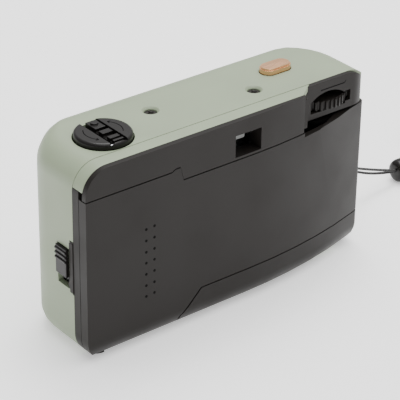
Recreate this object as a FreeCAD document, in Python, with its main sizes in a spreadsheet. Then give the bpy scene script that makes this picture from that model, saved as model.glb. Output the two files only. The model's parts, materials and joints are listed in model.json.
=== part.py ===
import FreeCAD, Part
import math
import os
import re

import Sketcher
from FreeCAD import Rotation, Vector

# Half frame camera: compact 35 mm film camera with a fixed lens and a built-in flash.
# Frame: millimetres, +Z up, the lens looks along -Y and the back door faces +Y.
# +X is the end with the film cartridge, the rewind knob and the door latch.
# -X is the end with the take-up spool, the thumbwheel, the door hinge and the strap lug.
# The origin is the middle of the flat base.

doc = FreeCAD.newDocument("half_frame_camera")
sheet = doc.addObject("Spreadsheet::Sheet", "Size")

DRIVING = [
    # the case
    ("half_width", 54.1), ("hinge_end", 54.9), ("case_height", 62.0), ("front_y", -15.5), ("seam_y", 12.5),
    ("band_y", 17.2), ("back_y", 19.0), ("wall", 1.8),
    ("end_radius", 8.0),
    ("plan_round_x", 17.0), ("plan_round_y", 15.0), ("edge_round", 4.5),
    # the back: flat to bow_x, then a wide arc to facet_x, then a facet to the hinge end
    ("bow_x", -5.0), ("bow_radius", 175.0), ("facet_x", -41.6), ("facet_low", 11.7),
    ("rear_round", 6.5), ("hinge_x", -53.3),
    ("hinge_y", 3.65), ("barrel_radius", 1.5), ("pin_radius", 0.75), ("pin_bore", 0.8),
    ("door_high", 53.0), ("door_shoulder", 49.4), ("shoulder_x", 22.0),
    ("strip_top", 11.2), ("strip_start_x", 20.4), ("strip_step_x", 13.6), ("door_gap", 0.35),
    ("side_strip_y", 15.5), ("side_strip_top", 55.3), ("band_end_x", -25.0),
    ("band_start_x", -32.9),
    ("housing_y", 13.9), ("housing_low", 50.6), ("ledge_z", 49.5), ("housing_x", -25.4), ("housing_round", 6.7),
    # the film path
    ("cartridge_x", 37.0), ("cartridge_y", 3.5), ("cartridge_bore", 13.2), ("film_y", 11.2),
    ("spool_x", -39.5), ("spool_y", 4.0), ("spool_bore", 10.2), ("spool_core", 4.0),
    ("sprocket_x", -20.8), ("sprocket_y", 6.5), ("sprocket_radius", 6.05),
    ("frame_width", 17.0), ("frame_height", 24.0), ("film_z", 31.5),
    ("deck_low", 13.2), ("deck_high", 49.8), ("deck", 1.2),
    # the lens, the shutter and the finder
    ("lens_x", -3.0), ("ring_radius", 12.0), ("ring_front", -19.0), ("barrel_outer", 8.0),
    ("board_y", -9.2), ("board_thick", 1.6), ("blade_thick", 0.3),
    ("finder_x", -3.1), ("finder_z", 54.0), ("finder_width", 9.6), ("finder_height", 7.0),
    # the controls
    ("knob_radius", 8.5), ("knob_rise", 1.9), ("wheel_radius", 11.0), ("wheel_low", 52.5),
    ("wheel_thick", 2.9), ("button_x", -29.7), ("button_y", -1.2), ("button_length", 10.6),
    ("button_width", 5.6), ("button_rise", 1.9), ("stem_y", -9.9), ("latch_y", 7.5), ("latch_z", 30.0),
    ("release_x", -22.0), ("release_y", -1.0), ("counter_x", -40.5), ("counter_y", -3.5),
    # the flash and its battery
    ("flash_x", 16.5), ("flash_z", 49.0), ("flash_width", 22.0), ("flash_height", 12.5),
    ("battery_y", 9.2), ("battery_z", 7.4), ("battery_radius", 5.25), ("battery_length", 44.5),
    ("battery_start_x", -33.0),
    # fasteners and strap
    ("screw_front_x", 16.6), ("screw_front_y", -1.7), ("screw_rear_x", -15.9),
    ("screw_rear_y", 5.5), ("screw_radius", 0.95), ("screw_head", 1.9),
    ("lug_x", -53.9), ("lug_y", -6.0), ("lug_z", 21.0), ("lug_radius", 0.8),
    ("coil_x", -126.0), ("coil_y", -20.0),
    ("loop_radius", 0.45), ("lock_radius", 4.0), ("wrist_radius", 1.0),
]
for row, (alias, value) in enumerate(DRIVING, start=1):
    sheet.set(f"A{row}", alias)
    sheet.set(f"B{row}", str(value))
    sheet.setAlias(f"B{row}", alias)
doc.recompute()
ALIASES = {alias for alias, _ in DRIVING}
NODES = []


def formula(text):
    """Write an expression for the document: each alias gets the name of its sheet."""
    return re.sub(r"[a-z][a-z_]*", lambda word: "Size." + word[0] if word[0] in ALIASES else word[0],
                  str(text))


def size(text):
    """The present value of an expression."""
    value = sheet.evalExpression(formula(text))
    return float(getattr(value, "Value", value))


def bind(item, **values):
    """Tie properties to expressions; a double underscore stands for a dot."""
    for key, text in values.items():
        item.setExpression(key.replace("__", "."), formula(text))
    return item


def place(item, x, y, z, rotation=None):
    if rotation is not None:
        item.Placement = FreeCAD.Placement(Vector(), rotation)
    return bind(item, Placement__Base__x=x, Placement__Base__y=y, Placement__Base__z=z)


def box(name, x, y, z):
    """A block between the low and high expressions given for each axis."""
    item = doc.addObject("Part::Box", name)
    bind(item, Length=f"({x[1]}) - ({x[0]})", Width=f"({y[1]}) - ({y[0]})",
         Height=f"({z[1]}) - ({z[0]})")
    return place(item, x[0], y[0], z[0])


ALONG = {"X": Rotation(Vector(0, 1, 0), 90), "Y": Rotation(Vector(1, 0, 0), -90), "Z": Rotation()}


def stand(item, axis, centre, low):
    """Stand a round primitive on its axis; centre holds the two other coordinates in X, Y, Z order."""
    a, b = centre
    spot = {"X": (low, a, b), "Y": (a, low, b), "Z": (a, b, low)}[axis]
    return place(item, *spot, rotation=ALONG[axis])


def rod(name, axis, centre, span, radius):
    item = doc.addObject("Part::Cylinder", name)
    bind(item, Radius=radius, Height=f"({span[1]}) - ({span[0]})")
    return stand(item, axis, centre, span[0])


def cone(name, axis, centre, span, radius_low, radius_high):
    item = doc.addObject("Part::Cone", name)
    bind(item, Radius1=radius_low, Radius2=radius_high, Height=f"({span[1]}) - ({span[0]})")
    return stand(item, axis, centre, span[0])


def join(name, *pieces):
    item = doc.addObject("Part::MultiFuse", name)
    item.Shapes = list(pieces)
    item.Refine = True
    return item


def cut(name, base, *tools):
    tool = tools[0] if len(tools) == 1 else join(name + "_tools", *tools)
    item = doc.addObject("Part::Cut", name)
    item.Base = base
    item.Tool = tool
    item.Refine = True
    return item


def common(name, *pieces):
    item = doc.addObject("Part::MultiCommon", name)
    item.Shapes = list(pieces)
    item.Refine = True
    return item


def node(item, label):
    """Name a finished piece."""
    item.Label = label
    NODES.append(item)
    return item


def polygon(sketch, points):
    """A closed outline whose corners are tied to expressions."""
    spots = [Vector(size(a), size(b), 0) for a, b in points]
    lines = [Part.LineSegment(spots[i], spots[(i + 1) % len(spots)]) for i in range(len(spots))]
    sketch.addGeometry(lines, False)
    for i in range(len(spots)):
        sketch.addConstraint(Sketcher.Constraint("Coincident", i, 2, (i + 1) % len(spots), 1))
    for i, (a, b) in enumerate(points):
        for kind, text in (("DistanceX", a), ("DistanceY", b)):
            index = sketch.addConstraint(Sketcher.Constraint(kind, -1, 1, i, 1, size(text)))
            sketch.setExpression(f"Constraints[{index}]", formula(text))


def rounded_outline(name, x, z, radius, y):
    """A rounded rectangle standing in the XZ plane at the given y."""
    sketch = doc.addObject("Sketcher::SketchObject", name)
    sketch.Placement = FreeCAD.Placement(Vector(), Rotation(Vector(1, 0, 0), 90))
    left, right, low, high, r = size(x[0]), size(x[1]), size(z[0]), size(z[1]), size(radius)
    centres = [(right - r, low + r), (right - r, high - r), (left + r, high - r), (left + r, low + r)]
    normal = Vector(0, 0, 1)
    for i, (cx, cz) in enumerate(centres):
        start = (i - 1) * math.pi / 2
        circle = Part.Circle(Vector(cx, cz, 0), normal, r)
        sketch.addGeometry(Part.ArcOfCircle(circle, start, start + math.pi / 2), False)
    for i in range(4):
        tail = sketch.Geometry[i].EndPoint
        head = sketch.Geometry[(i + 1) % 4].StartPoint
        sketch.addGeometry(Part.LineSegment(tail, head), False)
    for i in range(4):
        sketch.addConstraint(Sketcher.Constraint("Tangent", i, 2, 4 + i, 1))
        sketch.addConstraint(Sketcher.Constraint("Tangent", 4 + i, 2, (i + 1) % 4, 1))
        sketch.addConstraint(Sketcher.Constraint("Vertical" if i % 2 == 0 else "Horizontal", 4 + i))
    for i in range(1, 4):
        sketch.addConstraint(Sketcher.Constraint("Equal", 0, i))
    ties = [("Radius", (0,), radius), ("DistanceX", (-1, 1, 4, 1), x[1]),
            ("DistanceX", (-1, 1, 6, 1), x[0]), ("DistanceY", (-1, 1, 5, 1), z[1]),
            ("DistanceY", (-1, 1, 7, 1), z[0])]
    for kind, where, text in ties:
        index = sketch.addConstraint(Sketcher.Constraint(kind, *where, size(text)))
        sketch.setExpression(f"Constraints[{index}]", formula(text))
    bind(sketch, Placement__Base__y=y)
    return sketch


def rounded_block(name, x, y, z, radius):
    """A block with four rounded corners, its straight sides along Y."""
    item = doc.addObject("Part::Extrusion", name)
    item.Base = rounded_outline(name + "_outline", x, z, radius, y[0])
    item.DirMode = "Custom"
    item.Dir = Vector(0, 1, 0)
    item.Solid = True
    return bind(item, LengthFwd=f"({y[1]}) - ({y[0]})")


def body(name):
    return doc.addObject("PartDesign::Body", name)


def sketch_on(holder, plane, name):
    """A sketch on one of the body's own origin planes."""
    sketch = holder.newObject("Sketcher::SketchObject", name)
    base = [f for f in holder.Origin.OriginFeatures if f.Role == plane][0]
    sketch.AttachmentSupport = [(base, "")]
    sketch.MapMode = "FlatFace"
    return sketch


def pad(holder, sketch, length, name, reverse=False):
    item = holder.newObject("PartDesign::Pad", name)
    item.Profile = sketch
    item.Reversed = reverse
    bind(item, Length=length)
    doc.recompute()
    return item


def lathe(label, points, x, y, z, rotation=None):
    """A turned piece: a half outline of radius and height, revolved about the piece's own axis."""
    holder = body(label)
    sketch = sketch_on(holder, "XZ_Plane", label + "_outline")
    polygon(sketch, points)
    turn = holder.newObject("PartDesign::Revolution", label + "_turned")
    turn.Profile = sketch
    turn.ReferenceAxis = (sketch, ["V_Axis"])
    turn.Angle = 360
    doc.recompute()
    return place(holder, x, y, z, rotation)


def circle_on(sketch, x, y, radius):
    """A circle whose centre and radius are tied to expressions."""
    index = sketch.addGeometry(Part.Circle(Vector(size(x), size(y), 0), Vector(0, 0, 1),
                                           size(radius)), False)
    for kind, where, text in (("Radius", (index,), radius), ("DistanceX", (-1, 1, index, 3), x),
                              ("DistanceY", (-1, 1, index, 3), y)):
        tie = sketch.addConstraint(Sketcher.Constraint(kind, *where, size(text)))
        sketch.setExpression(f"Constraints[{tie}]", formula(text))


def around(holder, feature, count, label):
    """Repeat a feature evenly about the piece's own Z axis."""
    ring = holder.newObject("PartDesign::PolarPattern", label + "_ring")
    ring.Originals = [feature]
    axis = [f for f in holder.Origin.OriginFeatures if f.Role == "Z_Axis"][0]
    ring.Axis = (axis, [""])
    ring.Angle = 360
    ring.Occurrences = count
    holder.Tip = ring
    doc.recompute()
    return ring


def coil(label, axis, centre, span, mean_radius, wire, turns):
    """A compression spring as a turned sleeve: one square rib for each turn of its wire."""
    inside, outside = f"{mean_radius} - {wire}", f"{mean_radius} + {wire}"
    between = f"{mean_radius} - {wire} / 2"
    length = f"(({span[1]}) - ({span[0]}))"
    points = [(inside, "0")]
    for i in range(turns):
        level = f"{wire} + ({length} - 2 * {wire}) * {i / (turns - 1):.6f}"
        if i:
            points.append((between, f"{level} - {wire}"))
        points += [(outside, f"{level} - {wire}"), (outside, f"{level} + {wire}")]
        if i < turns - 1:
            points.append((between, f"{level} + {wire}"))
    points.append((inside, length))
    a, b = centre
    spot = {"X": (span[0], a, b), "Z": (a, b, span[0])}[axis]
    return node(lathe(label + "_sleeve", points, *spot, rotation=ALONG[axis]), label)


# ---- the outer case -------------------------------------------------------------------------

SECTION_STEPS = (0.0, 0.02, 0.07, 0.15, 0.26, 0.4, 0.58, 0.78, 1.0)


def case_form(name, inset, back):
    """The pillow-fronted case form, its front and end corners rounded, drawn in by the inset."""
    sections = []
    for i, share in enumerate(SECTION_STEPS + (None,)):
        if share is None:
            pull, level, edge = "0", back, "0"
        else:
            factor = 1 - math.sqrt(1 - (1 - share) ** 2)
            pull = f"(plan_round_x - {inset}) * {factor:.6f}"
            depth = f"(plan_round_y - {inset}) * {share}"
            level = f"front_y + {inset} + {depth}"
            rest = f"max(0; 1 - ({depth}) / (edge_round - {inset}))"
            edge = f"(edge_round - {inset}) * (1 - sqrt(1 - pow({rest}; 2)))"
        half = f"half_width - {inset} - {pull}"
        sections.append(rounded_outline(
            f"{name}_section_{i + 1}", (f"half_width - hinge_end - ({half})", half),
            (f"{inset} + {edge}", f"case_height - {inset} - {edge}"),
            f"end_radius - {inset} - 0.6 * ({edge})", level))
    item = doc.addObject("Part::Loft", name)
    item.Sections = sections
    item.Solid = True
    item.Ruled = True
    return item


outer_form = case_form("outer_form", "0", "seam_y")
inner_form = case_form("inner_form", "wall", "seam_y + 0.1")

finder_hole = box("finder_hole", ("finder_x - 5.3", "finder_x + 5.3"), ("front_y - 1", "front_y + 3"),
                  ("finder_z - 4.05", "finder_z + 4.05"))
flash_hole = box("flash_hole", ("flash_x - flash_width / 2 - 0.05", "flash_x + flash_width / 2 + 0.05"),
                 ("front_y - 1", "front_y + 3"),
                 ("flash_z - flash_height / 2 - 0.05", "flash_z + flash_height / 2 + 0.05"))
lens_hole = rod("lens_hole", "Y", ("lens_x", "film_z"), ("front_y - 1", "front_y + 3"),
                "ring_radius + 0.25")
knob_hole = rod("knob_hole", "Z", ("cartridge_x", "cartridge_y"),
                ("case_height - 3", "case_height + 1"), "knob_radius + 0.35")
button_hole_left = rod("button_hole_left", "Z", ("button_x - (button_length - button_width) / 2",
                       "button_y"), ("case_height - 3", "case_height + 1"), "button_width / 2 + 0.2")
button_hole_right = rod("button_hole_right", "Z", ("button_x + (button_length - button_width) / 2",
                        "button_y"), ("case_height - 3", "case_height + 1"), "button_width / 2 + 0.2")
button_hole_middle = box("button_hole_middle",
                         ("button_x - (button_length - button_width) / 2",
                          "button_x + (button_length - button_width) / 2"),
                         ("button_y - button_width / 2 - 0.2", "button_y + button_width / 2 + 0.2"),
                         ("case_height - 3", "case_height + 1"))
release_hole = rod("release_hole", "Z", ("release_x", "release_y"), ("-1", "wall + 1"), "2.25")
counter_hole = rod("counter_hole", "Z", ("counter_x", "counter_y - 5"), ("-1", "wall + 1"), "2.05")

SCREW_SPOTS = [
    ("top_front", "screw_front_x", "screw_front_y", "case_height", 1),
    ("top_rear", "screw_rear_x", "screw_rear_y", "case_height", 1),
    ("base_left", "screw_front_x", "screw_front_y", "0", -1),
    ("base_right", "screw_rear_x", "screw_front_y", "0", -1),
]


def screw_hollow(name, x, y, face, side):
    """A countersunk hole: a cone that opens outward, a head recess and a clearance bore."""
    if side > 0:
        span_bore = (f"{face} - 3", f"{face} + 1")
        recess = (f"{face} - 1.5", f"{face} + 1")
        bevel = cone(name + "_bevel", "Z", (x, y), (f"{face} - 0.7", f"{face} + 0.1"),
                     "screw_head + 0.05", "screw_head + 0.85")
    else:
        span_bore = (f"{face} - 1", f"{face} + 3")
        recess = (f"{face} - 1", f"{face} + 0.9")
        bevel = cone(name + "_bevel", "Z", (x, y), (f"{face} - 0.1", f"{face} + 0.5"),
                     "screw_head + 0.55", "screw_head + 0.05")
    bore = rod(name + "_bore", "Z", (x, y), span_bore, "screw_radius + 0.15")
    seat = rod(name + "_seat", "Z", (x, y), recess, "screw_head + 0.1")
    return [bore, seat, bevel]


screw_hollows = []
for spot, x, y, face, side in SCREW_SPOTS:
    screw_hollows += screw_hollow("hollow_" + spot, x, y, face, side)

latch_window = box("latch_window", ("half_width - 3", "half_width + 1"), ("latch_y - 2.8",
                   "latch_y + 2.8"), ("latch_z - 8.2", "latch_z + 4.8"))
hinge_clear = box("hinge_clear", ("-hinge_end - 1", "-hinge_end + wall + 0.4"),
                  ("hinge_y - barrel_radius - 0.6", "seam_y + 1"),
                  ("strip_top", "housing_low - 0.05"))
low_corner_clear = box("low_corner_clear", ("-hinge_end - 1", "-hinge_end + end_radius + 0.05"),
                       ("hinge_y", "seam_y + 1"), ("-1", "strip_top + 0.1"))
lug_pocket = box("lug_pocket", ("-hinge_end - 1", "-hinge_end + 2.9"), ("lug_y - 3", "lug_y + 3"),
                 ("lug_z - 3.6", "lug_z + 3.6"))
flange_notch = box("flange_notch", ("half_width - wall - 0.1", "half_width + 1"),
                   ("latch_y + 3.3", "seam_y + 1"), ("latch_z - 9", "latch_z + 8"))
# ---- the rear half: band, rear frame, door and battery cover ----------------------------------

rear_block = rounded_block("rear_block", ("-hinge_end", "half_width"), ("seam_y + 0.02", "back_y + 1"),
                           ("0", "case_height"), "end_radius")
rear_inside = rounded_block("rear_inside", ("-hinge_end + wall", "half_width - wall"),
                            ("seam_y - 1", "back_y + 2"), ("wall", "case_height - wall"),
                            "end_radius - wall")


def back_form(name, inset):
    """The plan form of the back, raised over the case's height, its lower rear edge rounded."""
    arc = [("bow_x", "0")]
    for share in (0.25, 0.5, 0.75, 1):
        run = f"(bow_x - facet_x) * {share}"
        arc.append((f"bow_x - {run}", f"bow_radius - sqrt(bow_radius * bow_radius - pow({run}; 2))"))
    sections = []
    steps = 6
    for i in range(steps + 2):
        angle = min(i / steps, 1) * math.pi / 2
        pull = f"(rear_round - {inset}) * {1 - math.sin(angle):.6f} + {inset}"
        level = f"(rear_round - {inset}) * {1 - math.cos(angle):.6f} + {inset}"
        if i > steps:
            level = "case_height + 1"
        points = [(f"half_width - {inset}", "-30"), (f"half_width - {inset}", f"back_y - ({pull})")]
        points += [(x, f"back_y - ({drop}) - ({pull})") for x, drop in arc]
        points += [(f"-hinge_end + {inset} + 1.6", f"facet_low + 0.43 - ({pull})"),
                   (f"-hinge_end + {inset} + 0.4", f"facet_low - 0.3 - ({pull})"),
                   (f"-hinge_end + {inset}", f"facet_low - 1.6 - ({pull})"),
                   (f"-hinge_end + {inset}", "-30")]
        sketch = doc.addObject("Sketcher::SketchObject", f"{name}_section_{i + 1}")
        polygon(sketch, points)
        bind(sketch, Placement__Base__z=level)
        sections.append(sketch)
    item = doc.addObject("Part::Loft", name)
    item.Sections = sections
    item.Solid = True
    item.Ruled = True
    return item


back_outer = back_form("back_outer", "0")
back_inner = back_form("back_inner", "wall")
# the case's lower edge follows the rounding of the back
edge_zone = box("edge_zone", ("-hinge_end - 1", "half_width + 1"), ("0", "seam_y + 1"),
                ("-1", "rear_round + 1"))
edge_trim = cut("edge_trim", edge_zone, back_outer)
room_zone = box("room_zone", ("-hinge_end - 1", "half_width + 1"), ("0", "seam_y + 1"),
                ("-1", "rear_round + 1"))
room_trim = cut("room_trim", room_zone, back_inner)


def housing_form(name, inset):
    """The thumbwheel housing in plan: its end wall, a rounded corner and its rear wall."""
    z = ("housing_low - 1", "case_height + 1")
    side = box(name + "_side", (f"-hinge_end + {inset}", "-hinge_end + housing_round"),
               ("hinge_y - 1", "housing_y - housing_round"), z)
    corner = rod(name + "_corner", "Z", ("-hinge_end + housing_round", "housing_y - housing_round"),
                 z, f"housing_round - {inset}")
    rear = box(name + "_rear", ("-hinge_end + housing_round", "housing_x + 1"),
               ("hinge_y - 1", f"housing_y - {inset}"), z)
    return join(name, side, corner, rear)


housing_outer = housing_form("wrap_outer", "0")
housing_inner = housing_form("wrap_inner", "wall * 0.8")
corner_zone = box("corner_zone", ("-hinge_end - 1", "-hinge_end + housing_round"),
                  ("hinge_y", "seam_y + 1"), ("housing_low - 0.1", "case_height + 1"))
corner_trim = cut("corner_trim", corner_zone, housing_outer)
corner_room_trim = cut("corner_room_trim", corner_zone, housing_inner)
front_outer = cut("front_outer", outer_form, edge_trim, corner_trim)
front_inner = cut("front_inner", inner_form, room_trim, corner_room_trim)
front_shell = cut("front_shell", front_outer, front_inner)
front_cover = cut("front_cover", front_shell, finder_hole, flash_hole, lens_hole, knob_hole,
                  button_hole_left, button_hole_right, button_hole_middle, release_hole,
                  counter_hole, latch_window, hinge_clear, low_corner_clear,
                  lug_pocket, flange_notch, *screw_hollows)
node(front_cover, "front_cover")

tall_block = rounded_block("tall_block", ("-hinge_end", "half_width"), ("hinge_y", "back_y + 1"),
                           ("0", "case_height"), "end_radius")
tall_inside = rounded_block("tall_inside", ("-hinge_end + wall", "half_width - wall"),
                            ("hinge_y - 1", "back_y + 2"), ("wall", "case_height - wall"),
                            "end_radius - wall")
rear_solid = common("rear_solid", back_outer, tall_block)
rear_room = common("rear_room", back_inner, tall_inside)
rear_skin = cut("rear_skin", rear_solid, rear_room)


def outline_block(label, points):
    """A block of the given outline in the XZ plane, deep enough to cover the back half."""
    holder = body(label)
    sketch = sketch_on(holder, "XZ_Plane", label + "_outline")
    polygon(sketch, points)
    pad(holder, sketch, "back_y + 2", label + "_pad", reverse=True)
    return holder


# the green band over the seam, with a slanted end beside the thumbwheel housing
band_ring = cut("band_ring", rear_block, rear_inside)


def plan_block(label, points, low):
    """An upright block of the given outline in the XY plane, from a low level to above the case."""
    holder = body(label)
    sketch = sketch_on(holder, "XY_Plane", label + "_outline")
    polygon(sketch, points)
    pad(holder, sketch, f"case_height + 1 - ({low})", label + "_pad")
    return place(holder, "0", "0", low)


band_zone = plan_block("band_zone", [
    ("half_width + 1", "seam_y - 1"), ("half_width + 1", "band_y"), ("band_end_x", "band_y"),
    ("band_start_x", "seam_y - 1")], "side_strip_top + 0.05")
node(common("top_band", band_ring, band_zone), "top_band")

# the fixed black frame around the door: upper strip, side strip, base rail, wheel housing
strip_zone = outline_block("strip_zone", [
    ("half_width + 1", "door_high + door_gap"), ("half_width + 1", "case_height + 1"),
    ("housing_x", "case_height + 1"), ("housing_x", "door_shoulder + door_gap"),
    ("shoulder_x - 1.6", "door_shoulder + door_gap"), ("shoulder_x - 0.4", "door_high + door_gap + 0.7"),
    ("shoulder_x + 1.4", "door_high + door_gap + 0.7"), ("shoulder_x + 2.6", "door_high + door_gap")])
upper_rear = box("upper_rear", ("housing_x - 1", "half_width + 1"), ("band_y + 0.02", "back_y + 1"),
                 ("0", "case_height + 1"))
upper_strip = common("upper_strip", rear_block, back_outer, strip_zone, upper_rear)
housing_link = box("housing_link", ("housing_x - 1.8", "housing_x"), ("seam_y + 0.02", "back_y - 1.9"),
                   ("housing_low", "case_height - wall"))
wheel_window = join("wheel_window",
                    box("wheel_slot", ("-44.3", "-31.2"), ("seam_y - 2", "housing_y + 2"),
                        ("housing_low + 1.8", "housing_low + 4.9")),
                    box("wheel_end", ("-46.9", "-43.9"), ("seam_y - 2", "housing_y + 2"),
                        ("housing_low + 2.4", "housing_low + 5.8")))
wheel_arch = rod("wheel_arch", "Y", ("-37.9", "housing_low - 3.3"), ("seam_y - 2", "housing_y + 2"),
                 "11.1")
arch_zone = box("arch_zone", ("-44.1", "-31.2"), ("seam_y - 2", "housing_y + 2"),
                ("housing_low + 1.8", "case_height"))
arch_cut = common("arch_cut", wheel_arch, arch_zone)
side_strip = box("side_strip", ("half_width - wall", "half_width"), ("seam_y", "side_strip_y"),
                 ("end_radius / 2", "side_strip_top"))
side_piece = common("side_piece", rear_block, side_strip)
side_corner_zone = box("side_corner_zone", ("half_width - end_radius", "half_width"),
                       ("seam_y", "side_strip_y"), ("0", "end_radius"))
side_corner = common("side_corner", band_ring, side_corner_zone)
wrap_zone = box("wrap_zone", ("-hinge_end - 1", "housing_x"), ("seam_y + 0.02", "back_y"),
                ("housing_low", "case_height + 1"))
wrap_corners = rounded_block("wrap_corners", ("-hinge_end", "half_width"), ("hinge_y", "back_y + 1"),
                             ("0", "case_height"), "end_radius + 2")
wrap_block = common("wrap_block", wrap_corners, housing_outer, wrap_zone)
wrap_room = common("wrap_room", tall_inside, housing_inner)
housing_wrap = cut("housing_wrap", wrap_block, wrap_room)
end_post = box("end_post", ("half_width - 2.6", "half_width - wall"), ("seam_y + 0.02", "side_strip_y"),
               ("wall", "side_strip_top"))
strip_link = box("strip_link", ("half_width - 2.6", "half_width - wall"), ("side_strip_y - 0.1",
                 "band_y + 0.5"), ("door_high + door_gap", "side_strip_top"))
eyepiece_hole = box("eyepiece_hole", ("finder_x - finder_width / 2", "finder_x + finder_width / 2"),
                    ("back_y - 6", "back_y + 1"),
                    ("finder_z - finder_height / 2", "finder_z + finder_height / 2"))
end_post_round = common("end_post_round", rear_block, end_post)
strip_link_round = common("strip_link_round", rear_block, strip_link)
upper_bridge = box("upper_bridge", ("housing_x - 1", "half_width - 10"), ("seam_y + 0.02", "band_y + 0.1"),
                   ("case_height - wall - 2.2", "case_height - wall - 0.05"))
eyepiece_wall = box("eyepiece_wall", ("finder_x - 5", "finder_x + 5"), ("back_y - 4.95", "band_y + 0.1"),
                    ("finder_z - 3.85", "finder_z + 3.85"))
frame_solid = join("frame_solid", upper_strip, eyepiece_wall, housing_wrap, housing_link, side_piece, side_corner,
                   end_post_round, strip_link_round, upper_bridge)
band_room = plan_block("band_room", [
    ("band_end_x + 2", "seam_y - 1"), ("band_end_x + 2", "band_y"), ("band_end_x - 0.05", "band_y"),
    ("band_start_x - 0.05", "seam_y - 1")], "case_height - wall - 0.02")
wheel_clear = rod("wheel_clear", "Z", ("spool_x", "spool_y"),
                  ("wheel_low - 0.2", "wheel_low + wheel_thick + 0.2"), "wheel_radius + 0.3")
rear_frame = cut("rear_frame", frame_solid, wheel_window, wheel_clear, arch_cut, eyepiece_hole,
                 band_room)
node(rear_frame, "rear_frame")

# the back door, in the skin of the back, with a hinge barrel at the spool end
door_zone = outline_block("door_zone", [
    ("half_width + 1", "-1"), ("half_width + 1", "door_high"), ("shoulder_x + 2.6", "door_high"),
    ("shoulder_x + 1.4", "door_high + 0.7"), ("shoulder_x - 0.4", "door_high + 0.7"),
    ("shoulder_x - 1.6", "door_shoulder"), ("housing_x", "door_shoulder"),
    ("housing_x - 0.6", "ledge_z"), ("-hinge_end - 1", "ledge_z"),
    ("-hinge_end - 1", "strip_top + door_gap"), ("strip_step_x", "strip_top + door_gap"),
    ("strip_start_x + 1", "3.9"), ("strip_start_x + 0.6", "-1")])
skin_zone = join("skin_zone",
                 box("skin_rear", ("-hinge_end - 1", "half_width + 1"),
                     ("seam_y + 0.1", "back_y + 1"), ("-1", "case_height")),
                 box("skin_end", ("-hinge_end - 1", "-hinge_end + end_radius"),
                     ("hinge_y + 0.05", "back_y + 1"), ("-1", "case_height")))
door_wall = common("door_wall", rear_skin, door_zone, skin_zone)
door_side_clear = box("door_side_clear", ("half_width - 4", "half_width + 1"),
                      ("hinge_y - 1", "side_strip_y + 0.2"), ("-1", "case_height"))
door_corner_clear = box("door_corner_clear", ("half_width - end_radius - 0.2", "half_width + 1"),
                        ("hinge_y - 1", "side_strip_y + 0.2"), ("-1", "end_radius + 0.2"))
door_skin = cut("door_skin", door_wall, door_side_clear, door_corner_clear)
BARRELS = [("low", "strip_top + door_gap + 0.4", "20"), ("high", "38", "ledge_z - 0.1")]
barrels = []
for spot, low, high in BARRELS:
    barrels.append(rod("barrel_" + spot, "Z", ("hinge_x", "hinge_y"), (low, high), "barrel_radius"))
frame_barrel_clear = box("frame_barrel_clear", ("-hinge_end - 1", "hinge_x + barrel_radius + 0.3"),
                         ("hinge_y - 2", "hinge_y + barrel_radius + 0.3"), ("20.2", "37.8"))
seal_rib = box("seal_rib", ("-12", "half_width - 9"), ("back_y - wall - 0.9", "back_y - wall + 0.3"),
               ("46.6", "47.6"))
rib_low = box("rib_low", ("-12", "half_width - 9"), ("back_y - wall - 0.9", "back_y - wall + 0.3"),
              ("15.2", "16.2"))
hook_plate = box("hook_plate", ("half_width - 3.9", "half_width - 2.9"), ("latch_y + 0.3",
                 "back_y - wall + 0.2"), ("latch_z - 3", "latch_z + 3"))
hook_root = box("hook_root", ("half_width - 3.9", "half_width - 2.9"), ("side_strip_y + 0.4",
                "back_y - wall + 0.2"), ("latch_z - 6", "latch_z + 6"))
hook_notch = box("hook_notch", ("half_width - 5", "half_width - 2"), ("latch_y + 1.9", "latch_y + 3.5"),
                 ("latch_z - 4", "latch_z + 0.3"))
hook = cut("hook", join("hook_blank", hook_plate, hook_root), hook_notch)
door_solid = join("door_solid", door_skin, seal_rib, rib_low, hook, *barrels)
door_bore = rod("door_bore", "Z", ("hinge_x", "hinge_y"), ("0", "case_height - 2"), "pin_bore")
ledge_slope = body("ledge_slope")
ledge_sketch = sketch_on(ledge_slope, "YZ_Plane", "ledge_outline")
polygon(ledge_sketch, [("13.4", "ledge_z + 0.1"), ("back_y + 1", "ledge_z - 2.3"),
                       ("back_y + 1", "ledge_z + 2"), ("13.4", "ledge_z + 2")])
pad(ledge_slope, ledge_sketch, "hinge_end + 2", "ledge_pad", reverse=True)
ledge_span = box("ledge_span", ("-hinge_end - 1", "housing_x - 0.6"), ("13", "back_y + 1"),
                 ("ledge_z - 3", "ledge_z + 2"))
ledge_cut = common("ledge_cut", ledge_slope, ledge_span)
finger_scoop = plan_block("finger_scoop", [
    ("housing_x - 0.5", "back_y + 1"), ("housing_x - 0.5", "12.8"), ("-40.5", "13.6"),
    ("-32.5", "16.9"), ("-31", "back_y + 1")], "ledge_z - 1.3")
back_door = cut("back_door", door_solid, door_bore, frame_barrel_clear, ledge_cut, finger_scoop)
node(back_door, "back_door")

hinge_pin = rod("hinge_pin", "Z", ("hinge_x", "hinge_y"), ("strip_top + 0.5", "ledge_z + 0.3"),
                "pin_radius")
node(hinge_pin, "hinge_pin")

# the battery cover, pulled off backwards
cover_zone = outline_block("cover_zone", [
    ("strip_start_x + 0.3 - door_gap", "-1"), ("strip_start_x + 0.7 - door_gap", "3.9"),
    ("strip_step_x - door_gap", "strip_top"), ("-hinge_end - 1", "strip_top"),
    ("-hinge_end - 1", "-1")])
cover_skin = common("cover_skin", rear_skin, cover_zone, skin_zone)
TAB_SPOTS = ("-14", "2")
cover_tabs = [box(f"cover_tab_{i + 1}", (f"{x} - 2", f"{x} + 2"), ("back_y - wall - 3.2",
                  "back_y - wall + 0.3"), ("strip_top - 1", "strip_top - 0.1"))
              for i, x in enumerate(TAB_SPOTS)]
node(join("battery_cover", cover_skin, *cover_tabs), "battery_cover")

# ---- the chassis ------------------------------------------------------------------------------

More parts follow.
